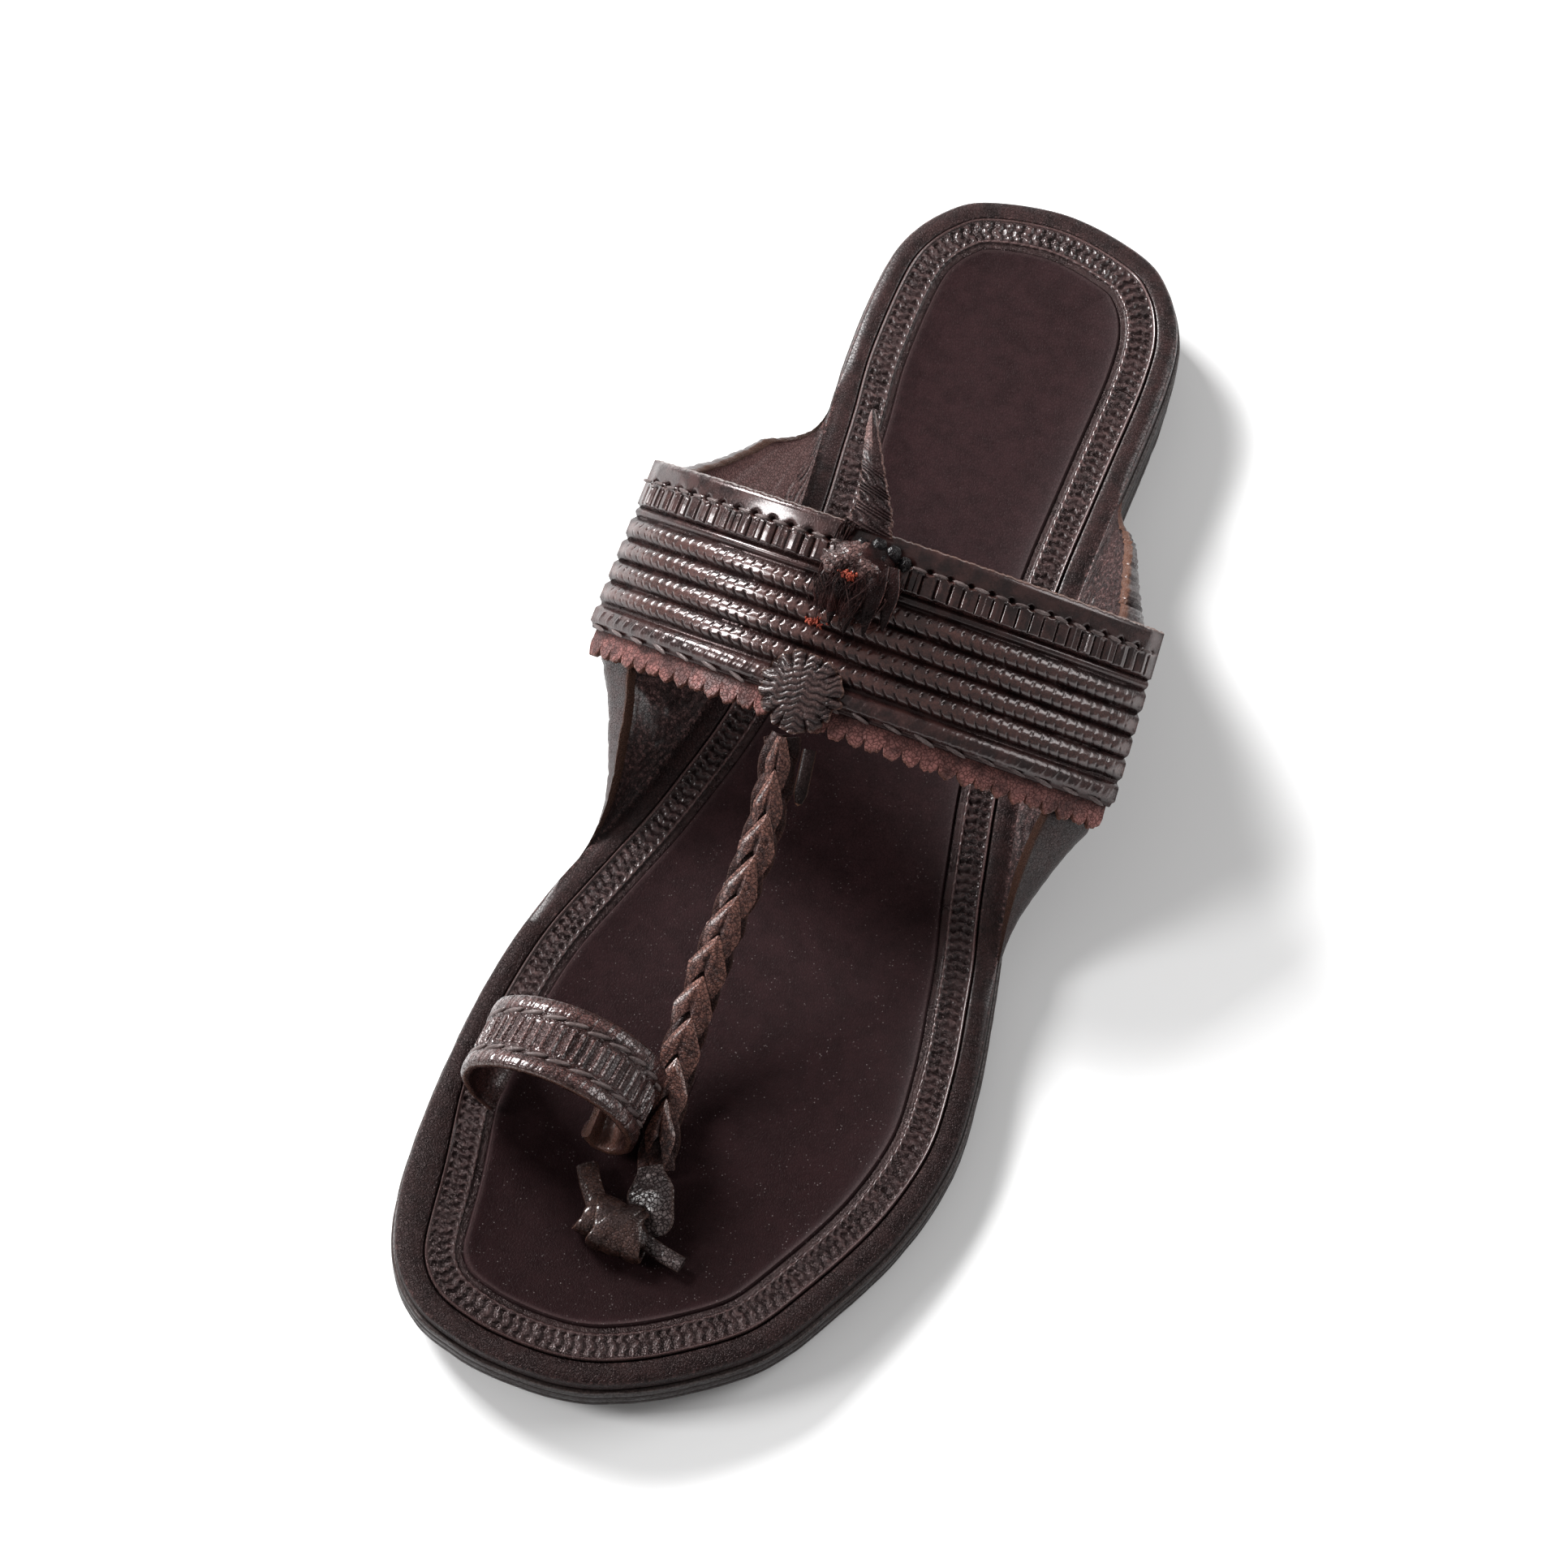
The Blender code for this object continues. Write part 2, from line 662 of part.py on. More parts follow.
def sweep(path, section_of, up=(0.0, 0.0, 1.0)):
    """Sections along a path. section_of gives (sideways, upward) offsets for a distance along it."""
    tangent = np.gradient(path, axis=0)
    tangent /= np.linalg.norm(tangent, axis=1)[:, None]
    length = np.concatenate(([0.0], np.cumsum(np.linalg.norm(np.diff(path, axis=0), axis=1))))
    sections = []
    for point, direction, distance in zip(path, tangent, length):
        sideways = np.cross(direction, up)
        sideways /= np.linalg.norm(sideways)
        normal = np.cross(sideways, direction)
        sections.append([point + sideways * s + normal * u for s, u in section_of(distance)])
    return sections


def plait_section(distance):
    """One section of the flat plait: each side swells and drops back as a strand passes under the next."""
    section = []
    for k in range(10):
        angle = math.tau * k / 10
        phase = distance / BRAID_SCALE + (0.5 if math.cos(angle) > 0 else 0.0)
        strand = (phase % 1.0) ** 0.8
        wide = BRAID_WIDTH / 2 * (0.84 + 0.16 * strand)
        thick = BRAID_THICKNESS / 2 * (0.72 + 0.28 * strand * abs(math.cos(angle)) ** 0.3)
        section.append((wide * math.cos(angle), thick * math.sin(angle)))
    return section


def braid():
    path = even(spline(BRAID_PATH, 12), 62)
    points, faces, caps = strip_loft(sweep(path, plait_section))
    return new_object("braid", points, faces, (0.045, 0.024, 0.020), 0.45, caps)


def strip_section(half_width, half_thickness):
    corner = half_thickness * 0.6
    return [
        (-half_width, -corner),
        (-half_width + corner, -half_thickness),
        (half_width - corner, -half_thickness),
        (half_width, -corner),
        (half_width, corner),
        (half_width - corner, half_thickness),
        (-half_width + corner, half_thickness),
        (-half_width, corner),
    ]


def braid_end():
    """The free end of a strip beside the top of the braid."""
    path = even(spline(((-3.2, -13.9, 46.9), (-2.4, -18.6, 44.8), (-1.7, -23.2, 41.6)), 8), 9)
    points, faces, caps = strip_loft(sweep(path, lambda distance: strip_section(1.5, 0.7)))
    return new_object("braid_end", points, faces, (0.035, 0.020, 0.018), 0.5, caps)


def fuse(body, piece):
    """Makes the piece part of the body, as one closed solid."""
    piece.hide_render = True
    piece.display_type = "WIRE"
    union = body.modifiers.new(piece.name, "BOOLEAN")
    union.operation = "UNION"
    union.solver = "EXACT"
    union.object = piece


def toe_ring():
    """A broad loop over the big toe: two raised margins with a lower ladder band between them."""
    line = even(spline(RING_SECTION, 10), 34)
    along = np.gradient(line, axis=0)
    along /= np.linalg.norm(along, axis=1)[:, None]
    out = np.column_stack((-along[:, 1], along[:, 0]))
    far = RING_WIDTH - RING_MARGIN
    profile = (
        (0.0, 0.0),
        (0.5, RING_RELIEF),
        (RING_MARGIN - 0.4, RING_RELIEF),
        (RING_MARGIN, 0.0),
        (far, 0.0),
        (far + 0.4, RING_RELIEF),
        (RING_WIDTH - 0.5, RING_RELIEF),
        (RING_WIDTH, 0.0),
        (RING_WIDTH, -RING_WALL),
        (0.0, -RING_WALL),
    )
    floor = float(insole_top(RING_REAR_Y))
    sections = []
    for (x, z), normal in zip(line, out):
        held = float(smooth((z - floor - 3.0) / 8.0))
        low_right = (1.0 - held) * float(smooth((x + 22.0) / 10.0))
        section = []
        for at, height in profile:
            share = at / RING_WIDTH
            lift = RING_LEAN * (at - RING_WIDTH / 2) * held
            ground = float(insole_top(RING_REAR_Y - at)) - floor
            tuck = RING_TUCK * (1.0 - share) * low_right
            section.append(
                (
                    x + normal[0] * height - tuck,
                    RING_REAR_Y - at,
                    z + normal[1] * height + lift + ground,
                )
            )
        sections.append(section)
    points, faces, caps = strip_loft(sections)
    return new_object("toe_ring", points, faces, (0.034, 0.020, 0.018), 0.4, caps)


def toe_knot():
    """The knotted end of the toe thong: a folded lump, the thong into it, a flat tab and a tail."""
    sections = []
    for share in np.linspace(0.04, 0.96, 11):
        swell = math.sin(math.pi * share) ** 0.5
        section = []
        for k in range(16):
            angle = math.tau * k / 16
            fold = 1.0 + 0.12 * math.cos(3.0 * angle + 6.0 * share)
            across = KNOT_SIZE[1] / 2 * swell * fold * math.cos(angle)
            up = KNOT_SIZE[2] / 2 * swell * fold * math.sin(angle)
            along = (share - 0.5) * KNOT_SIZE[0]
            section.append(np.array(KNOT_CENTRE) + (along, across - 0.12 * along, up))
        sections.append(section)
    points, faces, caps = strip_loft(sections)
    knot = new_object("toe_knot", points, faces, (0.050, 0.028, 0.022), 0.5, caps)
    for name, route, half_width, half_thickness in KNOT_STRIPS:
        path = even(spline(route, 8), 9)
        section = strip_section(half_width, half_thickness)
        points, faces, caps = strip_loft(sweep(path, lambda distance: section))
        fuse(knot, new_object(name, points, faces, (0.05, 0.03, 0.02), 0.5, caps))
    return knot


def main():
    for thing in list(bpy.data.objects):
        bpy.data.objects.remove(thing, do_unlink=True)
    heel_lift()
    outsole()
    insole()
    strap_lining()
    instep_strap()
    rosette()
    pompom()
    leaf_tab()
    braid()
    braid_end()
    toe_ring()
    toe_knot()


main()
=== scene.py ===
import math

import bpy
import numpy as np
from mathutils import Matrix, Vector


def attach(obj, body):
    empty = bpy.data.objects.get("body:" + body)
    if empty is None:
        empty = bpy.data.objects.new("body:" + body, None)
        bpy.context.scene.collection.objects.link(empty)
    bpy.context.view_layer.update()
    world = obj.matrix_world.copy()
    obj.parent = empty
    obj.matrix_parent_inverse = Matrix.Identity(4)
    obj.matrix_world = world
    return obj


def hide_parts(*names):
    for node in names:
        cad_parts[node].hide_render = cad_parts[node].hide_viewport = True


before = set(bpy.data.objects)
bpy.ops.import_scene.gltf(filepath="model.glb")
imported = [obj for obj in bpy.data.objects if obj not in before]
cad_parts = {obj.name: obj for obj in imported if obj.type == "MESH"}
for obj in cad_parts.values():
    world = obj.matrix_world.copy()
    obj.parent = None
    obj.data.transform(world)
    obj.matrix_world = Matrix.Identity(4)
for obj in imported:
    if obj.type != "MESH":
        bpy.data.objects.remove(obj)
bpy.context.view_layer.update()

bpy.ops.object.select_all(action="DESELECT")

# Heel lift
# The heel lift is two layers of sole leather, glued and pegged under the heel and pared flush with it.
# Its wall is burnished dark and keeps the line between the layers; the ground has scuffed its underside.

MM = 0.001
GAP = 0.3
AXIS_X = 1.97
LENGTH = 280.0
HALF = LENGTH / 2
LIFT_HEIGHT = 8.0
LIFT_LENGTH = 76.0
LIFT_SETBACK = 0.5
LAYER_LINE = 4.1
HEEL_FLAT_END = 80.0
FOREFOOT_START = 165.0
TOE_BREAK = 205.0
TOE_SPRING = 6.0
TOE_SPRING_POWER = 1.8
HEEL_TIP_X = -6.0
TOE_TIP_X = -12.0
SOLE_COLUMNS = 900
# the sole's outline: station from the heel, x of the big toe side, x of the little toe side
OUTLINE = (
    (3.5, -23.3, 11.6), (10.0, -31.4, 20.2), (20.0, -36.4, 25.8), (32.0, -37.5, 27.9),
    (50.0, -36.6, 28.5), (70.0, -34.0, 28.6), (90.0, -31.6, 29.2), (110.0, -31.0, 30.7),
    (130.0, -32.4, 33.8), (150.0, -36.2, 38.6), (170.0, -41.6, 43.7), (190.0, -47.0, 47.8),
    (207.0, -49.0, 49.1), (225.0, -49.0, 46.0), (243.0, -47.6, 39.1), (257.0, -45.0, 31.8),
    (268.0, -40.2, 20.4), (275.5, -32.4, 9.0), (279.0, -22.5, -0.6),
)


def smooth(value):
    value = np.clip(value, 0.0, 1.0)
    return value * value * (3.0 - 2.0 * value)


def unit(vectors):
    """The vector, or each row's vector, at a length of one."""
    return vectors / np.linalg.norm(vectors, axis=-1, keepdims=True)


def lengths(curve):
    """The distance along the curve to each of its points."""
    return np.concatenate(([0.0], np.cumsum(np.linalg.norm(np.diff(curve, axis=0), axis=1))))


def points_at(curve, wanted):
    """The points at these distances along the curve."""
    length = lengths(curve)
    return np.column_stack([np.interp(wanted, length, values) for values in curve.T])


def spline(points, steps, closed=False):
    """A smooth curve through the points, with this many steps between each two of them."""
    points = np.asarray(points, float)
    if closed:
        padded = np.vstack((points[-1:], points, points[:2]))
    else:
        padded = np.vstack((2 * points[0] - points[1], points, 2 * points[-1] - points[-2]))
    curve = []
    t = np.linspace(0.0, 1.0, steps, endpoint=False)[:, None]
    for a, b, c, d in zip(padded[:-3], padded[1:-2], padded[2:-1], padded[3:]):
        curve.append(b + 0.5 * t * (c - a + t * (2 * a - 5 * b + 4 * c - d + t * (3 * (b - c) + d - a))))
    curve.append(points[:1] if closed else points[-1:])
    return np.vstack(curve)


def even(curve, count):
    """The curve again, with this many points at equal distances along it."""
    return points_at(curve, np.linspace(0.0, lengths(curve)[-1], count))


def sole_outline(count, setback=0.0):
    """The sole's outline, set in from its edge, from the heel's end and round to it again.

    It also gives the outward normals and each point's share of the way round.
    """
    inner = [(row[1], HALF - row[0]) for row in OUTLINE]
    outer = [(row[2], HALF - row[0]) for row in reversed(OUTLINE)]
    points = [(HEEL_TIP_X, HALF), *inner, (TOE_TIP_X, -HALF), *outer]
    ring = even(spline(points, 24, closed=True), count + 1)
    along = np.roll(ring[:-1], -1, axis=0) - np.roll(ring[:-1], 1, axis=0)
    along = unit(np.vstack((along, along[:1])))
    normal = np.column_stack((along[:, 1], -along[:, 0]))
    return ring - normal * setback, normal, np.linspace(0.0, 1.0, count + 1)


def underside(y):
    """Height of the outsole's underside over the floor at y."""
    station = HALF - np.asarray(y, float)
    fall = smooth((station - HEEL_FLAT_END) / (FOREFOOT_START - HEEL_FLAT_END))
    heel = (LIFT_HEIGHT + GAP) * (1.0 - fall)
    toe = np.clip((station - TOE_BREAK) / (LENGTH - TOE_BREAK), 0.0, None)
    return heel + TOE_SPRING * toe**TOE_SPRING_POWER


def waver(share, size, turns, seed):
    """The small smooth unevenness of hand work. It is the same at share 0 and at share 1."""
    draw = np.random.default_rng(seed)
    total = np.zeros(np.shape(share))
    for k in range(1, 6):
        turn = round(turns * k * 0.62) + k
        total = total + np.sin(math.tau * turn * share + draw.uniform(0.0, math.tau)) / k**0.7
    return size * total / 2.2


def lay_skin(name, points, fill=False, angle=50.0, **marks):
    """A skin of leather: a grid whose rows of crossings are laid on these points, in millimetres.

    marks are values from 0 to 1 that the finishes read: one for the skin, or a list with one or more for
    each row, or an array of them all. The UV map is in millimetres.
    """
    points = np.array(points)
    rows, columns = points.shape[:2]
    bpy.ops.mesh.primitive_grid_add(x_subdivisions=columns - 1, y_subdivisions=rows - 1, size=2.0)
    skin = bpy.context.active_object
    skin.name = skin.data.name = name
    mesh = skin.data
    placed = (points + (AXIS_X, 0.0, 0.0)) * MM
    mesh.vertices.foreach_set("co", placed.astype(np.float32).ravel())
    for mark, values in marks.items():
        if isinstance(values, (list, tuple)):
            values = [np.broadcast_to(value, columns) for value in values]
        held = mesh.attributes.new(mark, "FLOAT", "POINT")
        held.data.foreach_set("value", np.broadcast_to(values, (rows, columns)).astype(np.float32).ravel())
    across = np.linalg.norm(np.diff(points, axis=1), axis=2).mean(axis=0)
    down = np.linalg.norm(np.diff(points, axis=0), axis=2).mean(axis=1)
    across, down = (np.concatenate(([0.0], np.cumsum(steps))) for steps in (across, down))
    corner = np.empty(len(mesh.loops), np.int32)
    mesh.loops.foreach_get("vertex_index", corner)
    places = np.column_stack((across[corner % columns], down[corner // columns]))
    mesh.uv_layers[0].data.foreach_set("uv", places.astype(np.float32).ravel())
    bpy.ops.object.mode_set(mode="EDIT")
    bpy.ops.mesh.select_all(action="SELECT")
    bpy.ops.mesh.remove_doubles(threshold=2e-6)
    if fill:
        bpy.ops.mesh.fill_holes(sides=0)
        bpy.ops.mesh.select_all(action="SELECT")
    bpy.ops.mesh.normals_make_consistent(inside=False)
    bpy.ops.object.mode_set(mode="OBJECT")
    bpy.ops.object.shade_smooth_by_angle(angle=math.radians(angle))
    bpy.ops.object.select_all(action="DESELECT")
    return skin


def marks_of(table):
    """The marks in the last two columns of a table of rows: how rubbed and how shaded each row is."""
    return {"high": [row[-2] for row in table], "low": [row[-1] for row in table]}


def node_group(name, inputs, outputs):
    """An empty shader group that takes a place in millimetres and named values, and gives named values."""
    group = bpy.data.node_groups.new(name, "ShaderNodeTree")
    group.interface.new_socket("Place in mm", in_out="INPUT", socket_type="NodeSocketVector")
    for label, value in inputs.items():
        socket = group.interface.new_socket(label, in_out="INPUT", socket_type="NodeSocketFloat")
        socket.default_value = value
    for label in outputs:
        group.interface.new_socket(label, in_out="OUTPUT", socket_type="NodeSocketFloat")
    return group, group.nodes.new("NodeGroupInput"), group.nodes.new("NodeGroupOutput")


def feed(node, inputs):
    """Gives a node's inputs, by name or number, a socket to read or a value."""
    for key, value in inputs.items():
        if isinstance(value, bpy.types.NodeSocket):
            value.id_data.links.new(value, node.inputs[key])
        else:
            node.inputs[key].default_value = value


def add_node(tree, kind, inputs=None, **settings):
    node = tree.nodes.new(kind)
    for key, value in settings.items():
        setattr(node, key, value)
    feed(node, inputs or {})
    return node


def sums(operation, a, b, clamp=False):
    """A sum of a socket and another socket or value."""
    node = add_node(a.id_data, "ShaderNodeMath", {0: a, 1: b}, operation=operation, use_clamp=clamp)
    return node.outputs[0]


def tint(share, a, b):
    """Colour a turned to colour b by the share."""
    node = add_node(share.id_data, "ShaderNodeMix", {0: share}, data_type="RGBA")
    feed(node, {key: (*value, 1.0) if isinstance(value, tuple) else value for key, value in ((6, a), (7, b))})
    return node.outputs[2]


def step(value, low, high):
    """A soft step of the value, from 0 at low to 1 at high."""
    inputs = {"Value": value, "From Min": low, "From Max": high}
    node = add_node(value.id_data, "ShaderNodeMapRange", inputs, interpolation_type="SMOOTHSTEP")
    return node.outputs["Result"]


def noise(place, scale, detail, roughness=0.5):
    inputs = {"Vector": place, "Scale": scale, "Detail": detail, "Roughness": roughness}
    return add_node(place.id_data, "ShaderNodeTexNoise", inputs)


def cells(place, scale, feature="F1"):
    node = add_node(place.id_data, "ShaderNodeTexVoronoi", {"Vector": place, "Scale": scale}, feature=feature)
    return node.outputs["Distance"]


def leather_grain():
    """Grain of dyed hide: pebbles with creases between them, pores, and a slow mottling of the dye."""
    inputs = {"Pebble per mm": 1.2, "Mottle per mm": 0.25}
    group, given, out = node_group("Leather grain", inputs, ("Height", "Mottle", "Pores", "Creases"))
    place, pebble_scale, mottle_scale = given.outputs[:3]
    pull = noise(place, 0.9, 2.0).outputs["Color"]
    shifted = add_node(group, "ShaderNodeVectorMath", {0: place, 1: pull}, operation="ADD").outputs[0]
    pebble = cells(shifted, pebble_scale, "DISTANCE_TO_EDGE")
    crease = step(pebble, 0.0, 0.2)
    pit = sums("MULTIPLY", step(cells(shifted, 1.1), 0.30, 0.14), 0.8)
    creases = sums("MAXIMUM", step(pebble, 0.15, 0.03), pit)
    fine = noise(place, 4.5, 3.0).outputs[0]
    height = sums("ADD", sums("MULTIPLY", crease, 0.6), sums("MULTIPLY", fine, 0.7))
    slow = noise(place, mottle_scale, 4.0, 0.6).outputs[0]
    mottle, pores = step(slow, 0.32, 0.68), step(fine, 0.35, 0.65)
    feed(out, {"Height": height, "Mottle": mottle, "Pores": pores, "Creases": creases})
    return group


def wear_and_painted_highlight():
    """Where hands and feet rub the dye off, and where a painted highlight lightens the colour: places marked
    high on the mesh, broken up by noise.
    """
    group, given, out = node_group("Edge wear and painted highlight", {"High": 0.0, "Amount": 0.5}, ("Worn",))
    place, high, amount = given.outputs[:3]
    broken = sums("MULTIPLY", sums("SUBTRACT", noise(place, 1.1, 5.0, 0.7).outputs[0], 0.5), 1.6)
    worn = step(sums("ADD", high, broken), 0.45, 1.05)
    feed(out, {"Worn": sums("MULTIPLY", worn, amount, clamp=True)})
    return group


def dust_specks():
    """Pale specks of dust caught in the grain, most of them toward the toe."""
    group, given, out = node_group("Dust specks", {"Amount": 0.5}, ("Dust",))
    place, amount = given.outputs[:2]
    dot = step(cells(place, 1.3), 0.2, 0.1)
    some = step(noise(place, 0.33, 2.0).outputs[0], 0.46, 0.64)
    split = add_node(group, "ShaderNodeSeparateXYZ", {0: place})
    settled = step(split.outputs["Y"], 60.0, -40.0)
    some = sums("MULTIPLY", some, sums("ADD", sums("MULTIPLY", settled, 0.8), 0.2))
    feed(out, {"Dust": sums("MULTIPLY", sums("MULTIPLY", dot, some), amount, clamp=True)})
    return group


GRAIN, WEAR_AND_HIGHLIGHT, DUST = leather_grain(), wear_and_painted_highlight(), dust_specks()
RAW_HIDE = (0.16, 0.075, 0.048)
DUST_GREY = (0.24, 0.205, 0.2)
GLOSS_TINT = (1.0, 0.74, 0.73, 1.0)


def leather(
    name, dark, brown, worn,
    rough=(0.42, 0.62), grain=1.2, relief=0.05, wear=0.5, dust=0.0, shine=0.4, cracks=0.55,
):
    """Dyed hide. It reads the marks "high" for rubbed crests and painted highlight, "low" for painted shade
    and dark lines, and "raw" for cut edges.

    grain is pebbles per mm and relief their height in mm.
    """
    material = bpy.data.materials.new(name)
    material.use_nodes = True
    tree = material.node_tree
    here = add_node(tree, "ShaderNodeTexCoord").outputs["Object"]
    place = add_node(tree, "ShaderNodeVectorMath", {0: here, "Scale": 1.0 / MM}, operation="SCALE").outputs[0]
    high, low, raw = (
        add_node(tree, "ShaderNodeAttribute", attribute_name=mark).outputs["Fac"]
        for mark in ("high", "low", "raw")
    )
    skin = add_node(tree, "ShaderNodeGroup", node_tree=GRAIN)
    feed(skin, {"Place in mm": place, "Pebble per mm": grain})
    skin = skin.outputs
    rub = add_node(tree, "ShaderNodeGroup", node_tree=WEAR_AND_HIGHLIGHT)
    feed(rub, {"Place in mm": place, "High": high, "Amount": wear})
    colour = tint(skin["Mottle"], dark, brown)
    # the high mark lightens the colour: rubbed wear, and painted highlight where a piece sets it for light
    colour = tint(rub.outputs["Worn"], colour, worn)
    creased = sums("MULTIPLY", skin["Creases"], cracks)
    colour = tint(creased, colour, tuple(0.4 * c for c in dark))
    # the low mark darkens the colour: painted shade in creases, grooves and hollows, and dark joint lines
    colour = tint(sums("MULTIPLY", low, 0.8), colour, tuple(0.3 * c for c in dark))
    cut = sums("MULTIPLY", raw, sums("ADD", sums("MULTIPLY", skin["Pores"], 0.5), 0.4))
    colour = tint(cut, colour, RAW_HIDE)
    if dust:
        specks = add_node(tree, "ShaderNodeGroup", node_tree=DUST)
        feed(specks, {"Place in mm": place, "Amount": dust})
        colour = tint(specks.outputs[0], colour, DUST_GREY)
    gloss = sums("ADD", sums("MULTIPLY", skin["Mottle"], rough[1] - rough[0]), rough[0])
    dull = sums("ADD", gloss, sums("MULTIPLY", cut, 0.3), clamp=True)
    hollow = sums("MAXIMUM", low, creased)
    crest = sums("ADD", sums("MULTIPLY", high, 0.5), 0.6, clamp=True)
    dulled = sums("MULTIPLY", hollow, 1.1 * shine)
    polish = sums("SUBTRACT", sums("MULTIPLY", crest, shine), dulled, clamp=True)
    bump = add_node(tree, "ShaderNodeBump", {"Height": skin["Height"], "Distance": relief * MM})
    feed(
        tree.nodes["Principled BSDF"],
        {
            "Base Color": colour,
            "Roughness": dull,
            "Specular IOR Level": 0.3 * shine,
            "Specular Tint": GLOSS_TINT,
            "Coat Weight": polish,
            "Coat Roughness": rough[0] - 0.04,
            "Coat IOR": 1.6,
            "Normal": bump.outputs[0],
        },
    )
    return material


def fit(piece, node, material):
    """Puts the finished piece on the shoe, in place of the plain solid of that name."""
    piece.data.materials.clear()
    piece.data.materials.append(material)
    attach(piece, "root")
    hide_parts(node)


ring = sole_outline(SOLE_COLUMNS, LIFT_SETBACK)[0][:-1]
breast = HALF - LIFT_LENGTH
kept = ring[:, 1] > breast
start = int(np.argmax(~kept))
wall = np.roll(ring, -start, axis=0)[np.roll(kept, -start)]
straight = np.linspace(wall[-1, 0], wall[0, 0], 60)[1:-1]
wall = np.vstack((wall, np.column_stack((straight, np.full(len(straight), breast))), wall[:1]))
centre = np.array((HEEL_TIP_X, HALF - LIFT_LENGTH / 2))
share = np.linspace(0.0, 1.0, len(wall))
# inset, height, how rubbed and how shaded, from the underside's middle up the wall to the top's middle
LIFT_WALL = (
    (34.0, 0.0, 0.0, 0.0), (20.0, 0.0, 0.2, 0.0), (6.0, 0.0, 0.5, 0.0), (1.2, 0.0, 0.9, 0.0),
    (0.5, 0.15, 1.0, 0.0), (0.15, 0.6, 0.9, 0.0), (0.0, 1.4, 0.4, 0.0),
    (0.0, LAYER_LINE - 0.5, 0.2, 0.0), (0.05, LAYER_LINE - 0.2, 0.2, 0.3), (0.3, LAYER_LINE, 0.0, 1.0),
    (0.05, LAYER_LINE + 0.2, 0.2, 0.3), (0.0, LAYER_LINE + 0.5, 0.2, 0.0),
    (0.0, LIFT_HEIGHT - 0.6, 0.2, 0.0), (0.1, LIFT_HEIGHT - 0.2, 0.3, 0.3),
    (0.3, LIFT_HEIGHT, 0.0, 1.0), (20.0, LIFT_HEIGHT, 0.0, 1.0), (34.0, LIFT_HEIGHT, 0.0, 1.0),
)
away = wall - centre
reach = np.linalg.norm(away, axis=1)[:, None]
rows = []
for inset, height, *_ in LIFT_WALL:
    pared = np.maximum(inset + np.abs(waver(share, 0.12, 16, 3)) * (0.0 < height < LIFT_HEIGHT), 0.0)
    flat = centre + away * np.clip(1.0 - pared[:, None] / reach, 0.1, 1.0)
    rows.append(np.column_stack((flat, np.full(len(flat), height))))
lift = lay_skin("heel_lift_leather", rows, fill=True, **marks_of(LIFT_WALL))
SOLE_DARK = (0.0065, 0.0042, 0.0040)
lift_leather = leather("Lift leather", SOLE_DARK, (0.016, 0.009, 0.0075), (0.07, 0.04, 0.03), wear=0.6)
fit(lift, "heel_lift", lift_leather)

# Outsole
# The outsole is one thick piece of buffalo hide cut to the outline, its edge burnished nearly black.
# The hide is layered, so fine dark lines run along its edge. It is glued under the insole.

OUTSOLE_THICKNESS = 7.0
MIDDLE_X = -4.0
MIDDLE_TOE_Y = -96.0
MIDDLE_HEEL_Y = 108.0
# share of the way to the middle, inset, height, how rubbed and how shaded, from the top down and under
OUTSOLE_WALL = (
    (0.97, 0.0, 7.0, 0.0, 1.0), (0.40, 0.0, 7.0, 0.0, 1.0), (0.0, 3.0, 7.0, 0.2, 0.8),
    (0.0, 0.8, 7.0, 0.5, 0.3), (0.0, 0.35, 6.9, 0.8, 0.0), (0.0, 0.1, 6.6, 0.9, 0.0),
    (0.0, 0.0, 6.0, 0.4, 0.0), (0.0, 0.02, 4.9, 0.2, 0.0), (0.0, 0.22, 4.65, 0.0, 0.9),
    (0.0, 0.02, 4.4, 0.3, 0.0), (0.0, 0.0, 3.4, 0.3, 0.0), (0.0, 0.02, 2.6, 0.2, 0.0),
    (0.0, 0.15, 2.4, 0.0, 0.7), (0.0, 0.02, 2.2, 0.2, 0.0), (0.0, 0.05, 1.3, 0.5, 0.0),
    (0.0, 0.35, 0.55, 0.9, 0.0), (0.0, 0.9, 0.15, 1.0, 0.0), (0.0, 1.8, 0.0, 0.9, 0.0),
    (0.0, 6.0, 0.0, 0.6, 0.0), (0.40, 0.0, 0.0, 0.4, 0.0), (0.97, 0.0, 0.0, 0.4, 0.0),
)


def toward_middle(ring, share):
    """The ring moved this share of the way to a line along the sole's middle."""
    y = np.clip(ring[:, 1], MIDDLE_TOE_Y, MIDDLE_HEEL_Y)
    middle = np.column_stack((np.full(len(y), MIDDLE_X), y))
    return ring * (1.0 - share) + middle * share


ring, normal, share = sole_outline(SOLE_COLUMNS)
rows = []
for inward, inset, height, *_ in OUTSOLE_WALL:
    cut = inset + np.abs(waver(share, 0.09, 30, 5)) * (0.3 < height < 6.8)
    flat = toward_middle(ring - normal * cut[:, None], inward)
    line = waver(share, 0.12, 12, 6) * (2.0 < height < 5.2)
    rows.append(np.column_stack((flat, underside(flat[:, 1]) + height + line)))
outsole = lay_skin("outsole_hide", rows, fill=True, **marks_of(OUTSOLE_WALL))
sole_hide = leather(
    "Sole hide", SOLE_DARK, (0.012, 0.007, 0.006), (0.04, 0.022, 0.018), rough=(0.38, 0.6), wear=0.6
)
fit(outsole, "outsole", sole_hide)

# Insole
# The insole is one piece of thick dyed leather. Its edge is rolled over a raised margin, a border of small
# dents is hammered between two grooves, and its middle is dished by the foot. At the sides it grows into two
# ears that rise and lap under the strap; their cut edges show paler raw hide, torn at the outer ear's rear.

